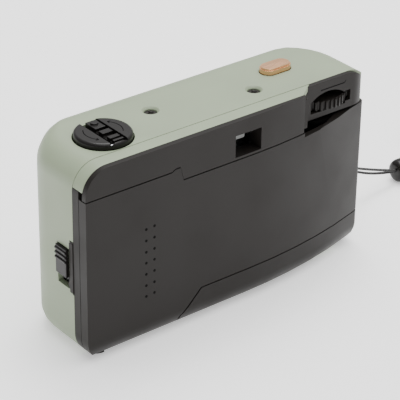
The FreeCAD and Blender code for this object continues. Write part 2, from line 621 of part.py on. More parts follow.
gate_plate = box("gate_plate", ("-13.2", "23.2"), ("film_y - 1.4", "film_y"), ("deck_low", "deck_high"))
rails = []
for level in ("13.9", "17.2", "45.3", "48.4"):
    rails.append(box(f"rail_{len(rails) + 1}", ("-13.2", "23.2"), ("film_y - 0.1", "film_y + 0.5"),
                     (level, f"{level} + 0.5")))
tunnel = box("tunnel", ("lens_x - frame_width / 2 - 1.2", "lens_x + frame_width / 2 + 1.2"),
             ("front_y + 9.3", "film_y - 1.3"),
             ("film_z - frame_height / 2 - 1.2", "film_z + frame_height / 2 + 1.2"))
tunnel_inside = box("tunnel_inside", ("lens_x - frame_width / 2", "lens_x + frame_width / 2"),
                    ("front_y + 10.5", "film_y + 1"),
                    ("film_z - frame_height / 2", "film_z + frame_height / 2"))
tunnel_mouth = rod("tunnel_mouth", "Y", ("lens_x", "film_z"), ("front_y + 8", "front_y + 12"), "3")
deck_top = box("deck_top", ("-28.2", "23.2"), ("-4.5", "film_y"), ("deck_high - deck", "deck_high"))
deck_base = box("deck_base", ("-28.2", "23.2"), ("-4.5", "film_y"), ("deck_low", "deck_low + deck"))
web = box("web", ("-28.2", "-13"), ("-2.2", "-0.9"), ("deck_low", "deck_high"))
spool_case = box("spool_case", ("-50.6", "-28.1"), ("spool_y - spool_bore - 1", "film_y"),
                 ("deck_low", "deck_high"))
spool_room = rod("spool_room", "Z", ("spool_x", "spool_y"), ("deck_low + deck", "deck_high - deck"),
                 "spool_bore")
spool_mouth = box("spool_mouth", ("-49.7", "-28"), ("spool_y", "film_y + 1"),
                  ("deck_low + deck", "deck_high - deck"))
spool_bores = rod("spool_bores", "Z", ("spool_x", "spool_y"), ("deck_low - 1", "deck_high + 1"), "2.05")
case_corner_left = box("case_corner_left", ("-51", "-46"), ("-8", "-2.2"), ("0", "case_height"))
case_corner_rear = box("case_corner_rear", ("-51", "-46.5"), ("9.9", "film_y + 1"), ("0", "case_height"))
latch_room = box("latch_room", ("half_width - 4.3", "half_width - 2"), ("latch_y - 3.6", "film_y + 1"),
                 ("latch_z - 12", "latch_z + 8"))
chamber = rod("chamber", "Z", ("cartridge_x", "cartridge_y"), ("5", "56"), "cartridge_bore + 1.1")
chamber_side = box("chamber_side", ("cartridge_x - cartridge_bore - 1.1",
                   "cartridge_x + cartridge_bore + 1.1"), ("cartridge_y", "film_y"), ("5", "56"))
chamber_room = rod("chamber_room", "Z", ("cartridge_x", "cartridge_y"), ("6.2", "54.8"),
                   "cartridge_bore")
chamber_mouth = box("chamber_mouth", ("cartridge_x - cartridge_bore", "cartridge_x + cartridge_bore"),
                    ("cartridge_y", "film_y + 1"), ("6.2", "54.8"))
chamber_rear = box("chamber_rear", ("22", "52"), ("film_y", "back_y"), ("4", "57"))
fork_bore = rod("fork_bore", "Z", ("cartridge_x", "cartridge_y"), ("54", "57"), "3.05")
sprocket_bores = rod("sprocket_bores", "Z", ("sprocket_x", "sprocket_y"),
                     ("deck_low - 1", "deck_high + 1"), "1.55")
posts = []
for spot, x, y, low, high in (
        ("top_front", "screw_front_x", "screw_front_y", "deck_high - 0.1", "case_height - wall"),
        ("top_rear", "screw_rear_x", "screw_rear_y", "deck_high - 0.1", "case_height - wall"),
        ("base_left", "screw_front_x", "screw_front_y", "wall", "deck_low + 0.1"),
        ("base_right", "screw_rear_x", "screw_front_y", "wall", "deck_low + 0.1")):
    posts.append(rod("post_" + spot, "Z", (x, y), (low, high), "2.4"))
pilots = []
for spot, x, y, low, high in (
        ("top_front", "screw_front_x", "screw_front_y", "case_height - wall - 7", "case_height"),
        ("top_rear", "screw_rear_x", "screw_rear_y", "case_height - wall - 7", "case_height"),
        ("base_left", "screw_front_x", "screw_front_y", "0", "wall + 7"),
        ("base_right", "screw_rear_x", "screw_front_y", "0", "wall + 7")):
    pilots.append(rod("pilot_" + spot, "Z", (x, y), (low, high), "screw_radius + 0.02"))
battery_wall = box("battery_wall", ("-35.8", "14.4"), ("battery_y - 6.6", "battery_y - 5.6"),
                   ("wall + 0.1", "deck_low + 0.1"))
battery_shelf = box("battery_shelf", ("-36.4", "14.4"), ("battery_y - 6.6", "film_y"),
                    ("deck_low", "deck_low + 0.8"))
tab_lugs = []
for i, x in enumerate(TAB_SPOTS):
    tab_lugs.append(box(f"tab_lug_{i + 1}", (f"{x} - 2", f"{x} + 2"), ("film_y + 2.8", "film_y + 4"),
                        ("strip_top", "deck_low + 0.1")))
    tab_lugs.append(box(f"tab_shelf_{i + 1}", (f"{x} - 2", f"{x} + 2"), ("film_y - 0.1", "film_y + 4"),
                        ("deck_low", "deck_low + 0.8")))
release_bore = rod("release_bore", "Z", ("release_x", "release_y"), ("deck_low - 1", "deck_low + 2"),
                   "0.9")
spool_shaft_bore = rod("spool_shaft_bore", "Z", ("spool_x", "spool_y"), ("0", "deck_low + 2"), "2.05")
stem_column = box("stem_column", ("-27.6", "-24.6"), ("-11.5", "-4.3"), ("deck_high - deck", "55"))
stem_shelf = box("stem_shelf", ("button_x - 2.2", "-24.6"), ("stem_y - 1.8", "stem_y + 1.8"),
                 ("54.2", "55"))
stem_bore = rod("stem_bore", "Z", ("button_x", "stem_y"), ("53", "56"), "1.05")
frame_barrel = rod("frame_barrel", "Z", ("hinge_x", "hinge_y"), ("22", "36"), "barrel_radius")
frame_lug = box("frame_lug", ("hinge_x", "-50.5"), ("hinge_y - 1.2", "hinge_y + 0.6"), ("22", "36"))
frame_bore = rod("frame_bore", "Z", ("hinge_x", "hinge_y"), ("21", "37"), "pin_radius + 0.02")
chassis_solid = join("chassis_solid", frame_barrel, frame_lug, stem_column, stem_shelf,
                     gate_plate, tunnel, deck_top, deck_base, web, spool_case, chamber,
                     chamber_side, battery_wall, battery_shelf,
                     *rails, *posts, *tab_lugs)
chassis_whole = cut("chassis_whole", chassis_solid, tunnel_inside, tunnel_mouth, spool_room, spool_mouth,
              spool_bores, case_corner_left, case_corner_rear, latch_room, chamber_room,
              chamber_mouth, chamber_rear, fork_bore, sprocket_bores, release_bore,
              spool_shaft_bore, stem_bore, frame_bore, *pilots)
chamber_zone = box("chamber_zone", ("cartridge_x - cartridge_bore - 1.15", "53"), ("-12", "20"),
                   ("1", "60"))
light_zone = box("light_zone", ("lens_x - frame_width / 2 - 1.3", "lens_x + frame_width / 2 + 1.3"),
                 ("front_y + 5", "film_y - 1.4"), ("film_z - frame_height / 2 - 1.3",
                 "film_z + frame_height / 2 + 1.3"))
node(common("cartridge_chamber", chassis_whole, chamber_zone), "cartridge_chamber")
node(common("light_box", chassis_whole, light_zone), "light_box")
node(cut("chassis", chassis_whole, chamber_zone, light_zone), "chassis")

screws = []
for spot, x, y, face, side in SCREW_SPOTS:
    sign = "-" if side > 0 else "+"
    deep = 1.5 if side > 0 else 0.9
    low, high = sorted((f"{face} {sign} 6.5", f"{face} {sign} {deep}"), key=size)
    shank = rod(f"screw_{spot}_shank", "Z", (x, y), (low, high), "screw_radius")
    far, near = sorted((f"{face} {sign} {deep}", f"{face} {sign} {deep - 0.6:.1f}"), key=size)
    head = rod(f"screw_{spot}_head", "Z", (x, y), (far, near), "screw_head")
    slot = [box(f"screw_{spot}_slot_{i + 1}", (f"{x} - {w}", f"{x} + {w}"), (f"{y} - {d}", f"{y} + {d}"),
                sorted((f"{face} {sign} {deep - 0.35:.2f}", f"{face} {sign} {deep - 0.7:.1f}"), key=size))
            for i, (w, d) in enumerate((("1.1", "0.22"), ("0.22", "1.1")))]
    screws.append(cut(f"screw_{spot}", join(f"screw_{spot}_blank", shank, head), *slot))
screw_group = doc.addObject("Part::Compound", "case_screws")
screw_group.Links = screws
node(screw_group, "case_screws")

# ---- film transport ---------------------------------------------------------------------------

wheel = body("wheel_blank")
wheel_sketch = sketch_on(wheel, "XY_Plane", "wheel_rim")
circle_on(wheel_sketch, "0", "0", "wheel_radius")
pad(wheel, wheel_sketch, "wheel_thick", "wheel_pad")
notch_sketch = sketch_on(wheel, "XY_Plane", "wheel_notch")
polygon(notch_sketch, [("wheel_radius - 0.7", "-0.35"), ("wheel_radius + 1", "-0.75"),
                       ("wheel_radius + 1", "0.75"), ("wheel_radius - 0.7", "0.35")])
notch = wheel.newObject("PartDesign::Pocket", "wheel_notch_cut")
notch.Profile = notch_sketch
notch.Type = "ThroughAll"
notch.Midplane = True
doc.recompute()
around(wheel, notch, 40, "wheel")
place(wheel, "spool_x", "spool_y", "wheel_low")
wheel_hole = rod("wheel_hole", "Z", ("spool_x", "spool_y"), ("wheel_low - 1", "wheel_low + 6"), "1.5")
thumbwheel = cut("thumbwheel_bored", wheel, wheel_hole)
node(thumbwheel, "thumbwheel")

spool = lathe("spool_blank", [
    ("0", "-9.4"), ("1.9", "-9.4"), ("1.9", "deck + 0.2"), ("9", "deck + 0.2"), ("9", "deck + 1.2"),
    ("spool_core", "deck + 1.2"), ("spool_core", "deck_high - deck_low - deck - 1.2"),
    ("9", "deck_high - deck_low - deck - 1.2"), ("9", "deck_high - deck_low - deck - 0.2"),
    ("2", "deck_high - deck_low - deck - 0.2"), ("2", "wheel_low - deck_low"),
    ("1.5", "wheel_low - deck_low"), ("1.5", "wheel_low - deck_low + wheel_thick - 0.2"),
    ("0", "wheel_low - deck_low + wheel_thick - 0.2")], "spool_x", "spool_y", "deck_low")
spool_slot = box("spool_slot", ("spool_x - 0.6", "spool_x + 0.6"), ("spool_y - 5", "spool_y + 5"),
                 ("film_z - 9", "film_z + 9"))
take_up_spool = cut("take_up_spool", spool, spool_slot)
node(take_up_spool, "take_up_spool")

sprocket = body("sprocket")
sprocket_outline = sketch_on(sprocket, "XZ_Plane", "sprocket_outline")
polygon(sprocket_outline, [
    ("0", "-0.6"), ("1.5", "-0.6"), ("1.5", "deck + 0.2"), ("sprocket_radius", "deck + 0.2"),
    ("sprocket_radius", "7"), ("3.2", "7.6"), ("3.2", "deck_high - deck_low - 7.6"),
    ("sprocket_radius", "deck_high - deck_low - 7"),
    ("sprocket_radius", "deck_high - deck_low - deck - 0.2"),
    ("1.5", "deck_high - deck_low - deck - 0.2"), ("1.5", "deck_high - deck_low + 0.4"),
    ("0", "deck_high - deck_low + 0.4")])
sprocket_turn = sprocket.newObject("PartDesign::Revolution", "sprocket_turned")
sprocket_turn.Profile = sprocket_outline
sprocket_turn.ReferenceAxis = (sprocket_outline, ["V_Axis"])
sprocket_turn.Angle = 360
doc.recompute()
place(sprocket, "sprocket_x", "sprocket_y", "deck_low")
teeth = []
for row, level in enumerate(("film_z - 14.1", "film_z + 14.1")):
    for i in range(8):
        tooth = doc.addObject("Part::Wedge", f"tooth_{row + 1}_{i + 1}")
        tooth.Xmin, tooth.Xmax, tooth.Zmin, tooth.Zmax = -0.9, 0.9, -0.95, 0.95
        tooth.X2min, tooth.X2max, tooth.Z2min, tooth.Z2max = -0.45, 0.45, -0.6, 0.6
        tooth.Ymin = 0
        bind(tooth, Ymax="sprocket_radius + 0.95")
        place(tooth, "sprocket_x", "sprocket_y", level, Rotation(Vector(0, 0, 1), 22.5 + 45 * i))
        teeth.append(tooth)
node(join("sprocket_roller", sprocket, *teeth), "sprocket_roller")

pawl_foot = box("pawl_foot", ("-27.6", "-24.6"), ("-3.6", "-0.6"), ("deck_high + 0.02", "wheel_low + 1.4"))
pawl_arm = box("pawl_arm", ("-28.2", "-27.4"), ("-3.6", "4.6"), ("wheel_low + 0.2", "wheel_low + 1.4"))
node(join("ratchet_pawl", pawl_foot, pawl_arm), "ratchet_pawl")

dial_blank = rod("dial_blank", "Z", ("counter_x", "counter_y"), ("wall + 0.5", "wall + 1.3"), "7.4")
dial_hub = rod("dial_hub", "Z", ("counter_x", "counter_y"), ("wall + 1.2", "deck_low - 0.3"), "1.2")
dial_bore = rod("dial_bore", "Z", ("counter_x", "counter_y"), ("wall", "deck_low"), "0.62")
counter_dial = cut("counter_dial", join("dial_solid", dial_blank, dial_hub), dial_bore)
node(counter_dial, "counter_dial")
dial_pin = rod("dial_pin", "Z", ("counter_x", "counter_y"), ("wall + 0.02", "deck_low - 0.02"), "0.58")
node(dial_pin, "counter_pin")
node(rod("counter_window", "Z", ("counter_x", "counter_y - 5"), ("0.5", "1.7"), "2"), "counter_window")

# ---- rewind knob, crank and fork --------------------------------------------------------------

knob_blank = lathe("knob_blank", [
    ("0", "-1.7"), ("knob_radius", "-1.7"), ("knob_radius", "knob_rise - 1"),
    ("knob_radius - 0.12", "knob_rise - 0.6"), ("knob_radius - 0.45", "knob_rise - 0.2"),
    ("knob_radius - 0.9", "knob_rise"),
    ("0", "knob_rise")], "cartridge_x", "cartridge_y", "case_height")
knob_channel = box("knob_channel", ("cartridge_x - 2.9", "cartridge_x + 2.9"),
                   ("cartridge_y - knob_radius - 1", "cartridge_y + knob_radius - 0.6"),
                   ("case_height - 0.6", "case_height + knob_rise + 1"))
knob_bore = rod("knob_bore", "Z", ("cartridge_x", "cartridge_y"), ("case_height - 3", "case_height + 2"),
                "1.5")
crank_slot = rod("crank_slot", "X", ("cartridge_y + 6.4", "case_height + 0.25"),
                 ("cartridge_x - 4.4", "cartridge_x + 4.4"), "0.45")
rewind_knob = cut("rewind_knob", knob_blank, knob_channel, knob_bore, crank_slot)
node(rewind_knob, "rewind_knob")

crank_leaf = box("crank_leaf", ("cartridge_x - 2.6", "cartridge_x + 0.9"),
                 ("cartridge_y - 7.4", "cartridge_y + 6.4"),
                 ("case_height - 0.4", "case_height + knob_rise - 0.35"))
crank_eye = rod("crank_eye", "X", ("cartridge_y + 6.4", "case_height + 0.25"),
                ("cartridge_x - 2.6", "cartridge_x + 0.9"), "0.7")
crank_tip = rod("crank_tip", "Z", ("cartridge_x - 0.85", "cartridge_y - 5.5"),
                ("case_height + knob_rise - 0.4", "case_height + knob_rise + 0.1"), "1.2")
crank_eye_bore = rod("crank_eye_bore", "X", ("cartridge_y + 6.4", "case_height + 0.25"),
                     ("cartridge_x - 3", "cartridge_x + 2"), "0.45")
crank_grooves = [box(f"crank_groove_{i + 1}", ("cartridge_x - 3", "cartridge_x + 2"),
                     (f"cartridge_y + {low}", f"cartridge_y + {high}"),
                     ("case_height + 0.5", "case_height + knob_rise + 1"))
                 for i, (low, high) in enumerate(((-2.4, -1), (1.1, 3), (4.6, 5.5)))]
rewind_crank = cut("rewind_crank", join("crank_solid", crank_leaf, crank_eye, crank_tip),
                   crank_eye_bore, *crank_grooves)
node(rewind_crank, "rewind_crank")
node(rod("crank_pin", "X", ("cartridge_y + 6.4", "case_height + 0.25"),
         ("cartridge_x - 4.3", "cartridge_x + 4.3"), "0.42"), "crank_pin")

fork_shaft = rod("fork_shaft", "Z", ("cartridge_x", "cartridge_y"), ("49.5", "case_height - 1.71"), "3")
fork_neck = rod("fork_neck", "Z", ("cartridge_x", "cartridge_y"), ("case_height - 1.8",
                "case_height - 0.62"), "1.48")
fork_gap = box("fork_gap", ("cartridge_x - 1", "cartridge_x + 1"), ("cartridge_y - 4", "cartridge_y + 4"),
               ("49", "53.5"))
rewind_fork = cut("rewind_fork", join("fork_solid", fork_shaft, fork_neck), fork_gap)
node(rewind_fork, "rewind_fork")

# ---- the lens and the shutter -----------------------------------------------------------------

LENS = ("lens_x", "film_z")
ring_blank = rod("ring_blank", "Y", LENS, ("ring_front + 0.8", "front_y + 1.6"), "ring_radius")
ring_bevel = cone("ring_bevel", "Y", LENS, ("ring_front", "ring_front + 0.8"), "ring_radius - 0.8",
                  "ring_radius")
ring_bore = rod("ring_bore", "Y", LENS, ("ring_front - 1", "front_y + 3"), "barrel_outer + 0.08")
ring_dish = cone("ring_dish", "Y", LENS, ("ring_front - 0.01", "ring_front + 1.6"),
                 "barrel_outer + 1.6", "barrel_outer + 0.08")
ring_tab = box("ring_tab", ("lens_x - 1.4", "lens_x + 1.4"), ("ring_front + 0.8", "front_y - 0.4"),
               ("film_z + ring_radius - 0.5", "film_z + ring_radius + 1.6"))
node(cut("lens_ring", join("ring_solid", ring_blank, ring_bevel, ring_tab), ring_bore, ring_dish),
     "lens_ring")

barrel_tube = rod("barrel_tube", "Y", LENS, ("ring_front + 1.2", "board_y"), "barrel_outer")
barrel_flange = rod("barrel_flange", "Y", LENS, ("front_y + 2.2", "front_y + 3.2"), "ring_radius + 1")
barrel_throat = rod("barrel_throat", "Y", LENS, ("ring_front", "board_y + 1"), "3.4")
barrel_seat = rod("barrel_seat", "Y", LENS, ("ring_front", "front_y + 2.4"), "4.9")
barrel_cone = cone("barrel_cone", "Y", LENS, ("ring_front + 1.19", "front_y - 0.2"), "7", "4.9")
barrel_rear_seat = rod("barrel_rear_seat", "Y", LENS, ("board_y - 1.8", "board_y + 1"), "4.2")
node(cut("lens_barrel", join("barrel_solid", barrel_tube, barrel_flange), barrel_throat, barrel_seat,
         barrel_cone, barrel_rear_seat), "lens_barrel")


FORWARD = Rotation(Vector(1, 0, 0), 90)


def lens(label, back, rim, radius, crown):
    """A plano-convex lens: a cylindrical rim with a spherical front of the given crown radius."""
    outline = [("0", "0"), (radius, "0")]
    for share in (1, 0.8, 0.6, 0.4, 0.2, 0):
        reach = f"{radius} * {share}"
        drop = f"{crown} - sqrt({crown} * {crown} - pow({reach}; 2))"
        full = f"{crown} - sqrt({crown} * {crown} - {radius} * {radius})"
        outline.append((reach, f"{rim} + ({full}) - ({drop})"))
    return node(lathe(label + "_glass", outline, "lens_x", back, "film_z", FORWARD), label)


lens("front_lens", "front_y + 2.38", "1.4", "4.85", "10.2")
lens("rear_lens", "board_y - 0.02", "1.1", "4.15", "16")

board = box("board", ("lens_x - 13", "lens_x + 9.6"), ("board_y + 0.02", "board_y + board_thick"),
            ("film_z - 13.5", "film_z + 13.5"))
board_hole = rod("board_hole", "Y", LENS, ("board_y - 1", "board_y + 3"), "3")
pivot_hole = rod("pivot_hole", "Y", ("lens_x - 8", "film_z + 5"), ("board_y - 1", "board_y + 3"), "0.7")
lever_hole = rod("lever_hole", "Y", ("lens_x - 10.5", "film_z + 11"), ("board_y - 1", "board_y + 3"),
                 "0.7")
node(cut("shutter_board", board, board_hole, pivot_hole, lever_hole), "shutter_board")

BLADE = ("board_y + board_thick + 0.1", "board_y + board_thick + 0.1 + blade_thick")
blade_disc = rod("blade_disc", "Y", LENS, BLADE, "3.8")
blade_eye = rod("blade_eye", "Y", ("lens_x - 8", "film_z + 5"), BLADE, "1.7")
blade_arm = box("blade_arm", ("lens_x - 8", "lens_x"), BLADE, ("film_z + 1.4", "film_z + 5.4"))
blade_tail = box("blade_tail", ("lens_x - 12", "lens_x - 8"), BLADE, ("film_z + 4.4", "film_z + 5.8"))
blade_bore = rod("blade_bore", "Y", ("lens_x - 8", "film_z + 5"), ("board_y", "board_y + 3"), "0.7")
node(cut("shutter_blade", join("blade_solid", blade_disc, blade_eye, blade_arm, blade_tail),
         blade_bore), "shutter_blade")
node(rod("blade_pivot", "Y", ("lens_x - 8", "film_z + 5"), ("board_y + 0.02",
         "board_y + board_thick + 0.9"), "0.65"), "blade_pivot")

stop_disc = rod("stop_disc", "Y", LENS, ("front_y + 8.75", "front_y + 9.28"), "4.5")
stop_hole = rod("stop_hole", "Y", LENS, ("front_y + 8", "front_y + 10"), "1.2")
node(cut("aperture_stop", stop_disc, stop_hole), "aperture_stop")

LEVER = ("board_y - 1.1", "board_y - 0.3")
lever_pivot = ("lens_x - 10.5", "film_z + 11")
lever_eye = rod("lever_eye", "Y", lever_pivot, LEVER, "1.9")
lever_arm = box("lever_arm", ("button_x - 1.8", "lens_x - 10.5"), LEVER,
                ("film_z + 10.4", "film_z + 12.6"))
lever_rise = box("lever_rise", ("button_x - 1.8", "button_x + 1.8"), LEVER,
                 ("film_z + 10.4", "film_z + 22.1"))
lever_bore = rod("lever_bore", "Y", lever_pivot, ("board_y - 2", "board_y + 1"), "0.7")
node(cut("release_lever", join("lever_solid", lever_eye, lever_arm, lever_rise), lever_bore),
     "release_lever")
node(rod("lever_pivot", "Y", lever_pivot, ("board_y - 1.6", "board_y + board_thick"), "0.65"),
     "lever_pivot")

# ---- shutter button and its spring --------------------------------------------------------------


def oval(name, length, width, low, high):
    """An upright oval block about the shutter button's axis."""
    reach = f"(({length}) - ({width})) / 2"
    left = rod(name + "_left", "Z", (f"button_x - {reach}", "button_y"), (low, high),
               f"({width}) / 2")
    right = rod(name + "_right", "Z", (f"button_x + {reach}", "button_y"), (low, high),
                f"({width}) / 2")
    middle = box(name + "_middle", (f"button_x - {reach}", f"button_x + {reach}"),
                 (f"button_y - ({width}) / 2", f"button_y + ({width}) / 2"), (low, high))
    return join(name, left, right, middle)


button_cap = oval("button_cap", "button_length", "button_width", "case_height - 1.6",
                  "case_height + button_rise - 0.5")
button_top = oval("button_top", "button_length - 0.8", "button_width - 0.8",
                  "case_height + button_rise - 0.6", "case_height + button_rise")
button_foot = oval("button_foot", "button_length + 1.2", "button_width + 1.2",
                   "case_height - wall - 1.2", "case_height - wall - 0.05")
button_neck = oval("button_neck", "button_length - 0.2", "button_width - 0.2",
                   "case_height - wall - 0.2", "case_height - 1.5")
button_arm = box("button_arm", ("button_x - 1.6", "button_x + 1.6"), ("stem_y - 1.2", "button_y - 2"),
                 ("case_height - wall - 1.9", "case_height - wall - 1.1"))
button_stem = rod("button_stem", "Z", ("button_x", "stem_y"), ("film_z + 22.15",
                  "case_height - wall - 1.2"), "0.95")
node(join("shutter_button", button_cap, button_top, button_foot, button_neck, button_arm, button_stem),
     "shutter_button")
coil("button_spring", "Z", ("button_x", "stem_y"), ("55.02", "case_height - wall - 1.92"), "1.35",
     "0.2", 6)

# ---- the viewfinder -----------------------------------------------------------------------------

finder_shell = box("finder_shell", ("finder_x - 5", "finder_x + 5"), ("front_y + 2.1", "back_y - 6.6"),
                   ("finder_z - 3.9", "finder_z + 3.9"))
finder_hollow = box("finder_hollow", ("finder_x - 4.1", "finder_x + 4.1"), ("front_y", "back_y"),
                    ("finder_z - 3", "finder_z + 3"))
node(cut("finder_tube", finder_shell, finder_hollow), "finder_tube")
node(box("finder_objective", ("finder_x - 5.2", "finder_x + 5.2"), ("front_y + 0.3", "front_y + 2"),
         ("finder_z - 3.95", "finder_z + 3.95")), "finder_objective")
node(box("eyepiece_lens", ("finder_x - 5.2", "finder_x + 5.2"), ("back_y - 6.5", "back_y - 5"),
         ("finder_z - 3.85", "finder_z + 3.85")), "eyepiece_lens")

# ---- the flash ----------------------------------------------------------------------------------

node(box("flash_window", ("flash_x - flash_width / 2", "flash_x + flash_width / 2"),
         ("front_y - 0.2", "front_y + 1.4"),
         ("flash_z - flash_height / 2", "flash_z + flash_height / 2")), "flash_window")
trough = box("trough", ("flash_x - 9.6", "flash_x + 9"), ("front_y + 2", "front_y + 9.5"),
             ("flash_z - 5.4", "flash_z + 5.4"))
trough_bowl = rod("trough_bowl", "X", ("front_y + 2", "flash_z"), ("flash_x - 9", "flash_x + 8.4"),
                  "4.8")
trough_deep = box("trough_deep", ("flash_x - 9", "flash_x + 8.4"), ("front_y + 1", "front_y + 8.6"),
                  ("flash_z - 2.6", "flash_z + 2.6"))
tube_holes = rod("tube_holes", "X", ("front_y + 6.6", "flash_z"), ("flash_x - 11", "flash_x + 10"),
                 "1.55")
node(cut("flash_reflector", trough, trough_bowl, trough_deep, tube_holes), "flash_reflector")
node(rod("flash_tube", "X", ("front_y + 6.6", "flash_z"), ("flash_x - 10.4", "flash_x + 9.6"), "1.5"),
     "flash_tube")
node(box("flash_board", ("8.5", "21.5"), ("-4.4", "-3.2"), ("deck_low + 1.5", "flash_z - 7.5")),
     "flash_board")
capacitor_can = rod("capacitor_can", "Z", ("16", "-8.6"), ("film_z - 14", "film_z + 8"), "4")
capacitor_legs = [rod(f"capacitor_leg_{i + 1}", "Z", ("16", f"-8.6 + {shift}"),
                      ("film_z + 7.9", "film_z + 9.5"), "0.3") for i, shift in enumerate((-1.2, 1.2))]
node(join("flash_capacitor", capacitor_can, *capacitor_legs), "flash_capacitor")

# ---- the battery --------------------------------------------------------------------------------

CELL = ("battery_y", "battery_z")
cell_can = rod("cell_can", "X", CELL, ("battery_start_x", "battery_start_x + battery_length - 1"),
               "battery_radius")
cell_nub = rod("cell_nub", "X", CELL, ("battery_start_x + battery_length - 1.1",
               "battery_start_x + battery_length"), "1.9")
node(join("battery", cell_can, cell_nub), "battery")
node(box("battery_contact", ("battery_start_x + battery_length + 0.02",
         "battery_start_x + battery_length + 0.5"), ("battery_y - 4", "battery_y + 4"),
         ("battery_z - 4.5", "battery_z + 4.5")), "battery_contact")
coil("battery_spring", "X", CELL, ("battery_start_x - 2.6", "battery_start_x - 0.02"), "2.6", "0.3", 3)

# ---- the door's pressure plate, seal and latch --------------------------------------------------

plate = box("plate", ("-12.5", "22.5"), ("film_y + 0.7", "film_y + 1.5"), ("film_z - 14", "film_z + 14"))
plate_pads = [box(f"plate_pad_{i + 1}", (f"{x} - 1.5", f"{x} + 1.5"), ("film_y + 1.4", "film_y + 3.2"),
                  ("film_z - 4", "film_z + 4")) for i, x in enumerate(("-8", "18"))]
node(join("pressure_plate", plate, *plate_pads), "pressure_plate")
leaf_ends = [box(f"leaf_end_{i + 1}", (f"{x} - 2", f"{x} + 2"), ("back_y - wall - 0.45",
                 "back_y - wall - 0.15"), ("film_z - 3", "film_z + 3"))
             for i, x in enumerate(("-2", "12"))]
leaf_bow = box("leaf_bow", ("-4", "14"), ("film_y + 1.55", "film_y + 1.85"), ("film_z - 3", "film_z + 3"))
leaf_risers = [box(f"leaf_riser_{i + 1}", (f"{x} - 0.15", f"{x} + 0.15"), ("film_y + 1.55",
                   "back_y - wall - 0.2"), ("film_z - 3", "film_z + 3"))
               for i, x in enumerate(("-3.85", "13.85"))]
node(join("pressure_spring", leaf_bow, *leaf_ends, *leaf_risers), "pressure_spring")
seals = doc.addObject("Part::Compound", "door_seal")
seals.Links = [
    box("seal_end_low", ("half_width - 4.4", "half_width - 2.2"), ("back_y - wall - 1.2",
        "back_y - wall - 0.02"), ("8", "latch_z - 6.3")),
    box("seal_end_high", ("half_width - 4.4", "half_width - 2.2"), ("back_y - wall - 1.2",
        "back_y - wall - 0.02"), ("latch_z + 6.3", "48")),
    box("seal_hinge", ("-34", "-31.5"), ("back_y - wall - 3.9", "back_y - wall - 2.7"), ("16", "46"))]
node(seals, "door_seal")

slider_cap = box("slider_cap", ("half_width - wall - 0.1", "half_width + 0.9"), ("latch_y - 2.6",
                 "latch_y + 2.6"), ("latch_z - 4.6", "latch_z + 4.6"))
slider_ribs = [box(f"slider_rib_{i + 1}", ("half_width + 0.8", "half_width + 1.3"),
                   ("latch_y - 2.6", "latch_y + 2.6"), (f"latch_z + {z}", f"latch_z + {z} + 0.7"))
               for i, z in enumerate(("0.2", "1.7", "3.2"))]
slider_body = box("slider_body", ("half_width - 2.6", "half_width - wall - 0.1"), ("latch_y - 3.2",
                  "latch_y + 3.2"), ("latch_z - 5.8", "latch_z + 6"))
slider_peg = box("slider_peg", ("half_width - 3.7", "half_width - 2.5"), ("latch_y + 2.1",
                 "latch_y + 3.2"), ("latch_z - 5.2", "latch_z - 3.1"))
node(join("latch_slider", slider_cap, slider_body, slider_peg, *slider_ribs), "latch_slider")
guide_disc = rod("guide_disc", "X", ("seam_y", "latch_z - 1"), ("half_width - wall + 0.05",
                 "half_width + 0.25"), "8.4")
guide_zone = box("guide_zone", ("half_width - wall", "half_width + 1"), ("latch_y + 3.35",
                 "seam_y - 0.02"), ("latch_z - 8.9", "latch_z + 7.9"))
node(common("latch_guide", guide_disc, guide_zone), "latch_guide")
coil("latch_spring", "Z", ("half_width - 3", "latch_y - 1.6"), ("latch_z - 11.98", "latch_z - 5.82"),
     "0.9", "0.15", 5)

# ---- rewind release, blade spring ---------------------------------------------------------------

release_head = rod("release_head", "Z", ("release_x", "release_y"), ("0.3", "wall + 0.3"), "2.1")
release_collar = rod("release_collar", "Z", ("release_x", "release_y"), ("wall + 0.1", "wall + 1"),
                     "2.9")
release_stem = rod("release_stem", "Z", ("release_x", "release_y"), ("wall", "deck_low + 0.6"), "0.8")
node(join("rewind_release", release_head, release_collar, release_stem), "rewind_release")
coil("release_spring", "Z", ("release_x", "release_y"), ("wall + 1.05", "deck_low - 0.05"), "1.5",
     "0.2", 7)
coil("blade_spring", "X", ("board_y + board_thick + 0.55", "film_z + 9.2"), ("lens_x - 12",
     "lens_x - 7"), "0.35", "0.1", 9)

# ---- strap lug, thin loop, lock and coiled wrist cord -------------------------------------------

node(rod("strap_lug", "Z", ("lug_x", "lug_y"), ("lug_z - 3.55", "lug_z + 3.55"), "lug_radius"),
     "strap_lug")

BEND_SHARE = 0.45


def cord_path(label, points, given=None):
    """Straight runs joined by tangent arcs, each as large as its two runs allow."""
    given = given or {}
    spots = [Vector(*point) for point in points]
    edges, tail = [], spots[0]
    radii = []
    for i in range(1, len(spots) - 1):
        before, after = spots[i] - spots[i - 1], spots[i + 1] - spots[i]
        turn = before.getAngle(after)
        shorter = min(before.Length, after.Length)
        radius = given.get(i, BEND_SHARE * shorter / math.tan(turn / 2))
        reach = radius * math.tan(turn / 2)
        enter = spots[i] - before.normalize() * reach
        leave = spots[i] + after.normalize() * reach
        middle_way = (enter + leave) * 0.5 - spots[i]
        centre = spots[i] + middle_way.normalize() * (radius / math.cos(turn / 2))
        middle = centre + (spots[i] - centre).normalize() * radius
        edges += [Part.LineSegment(tail, enter).toShape(), Part.Arc(enter, middle, leave).toShape()]
        tail = leave
        radii.append(round(radius, 1))
    edges.append(Part.LineSegment(tail, spots[-1]).toShape())
    print(label, "bend radii", radii)
    return Part.Wire(edges)


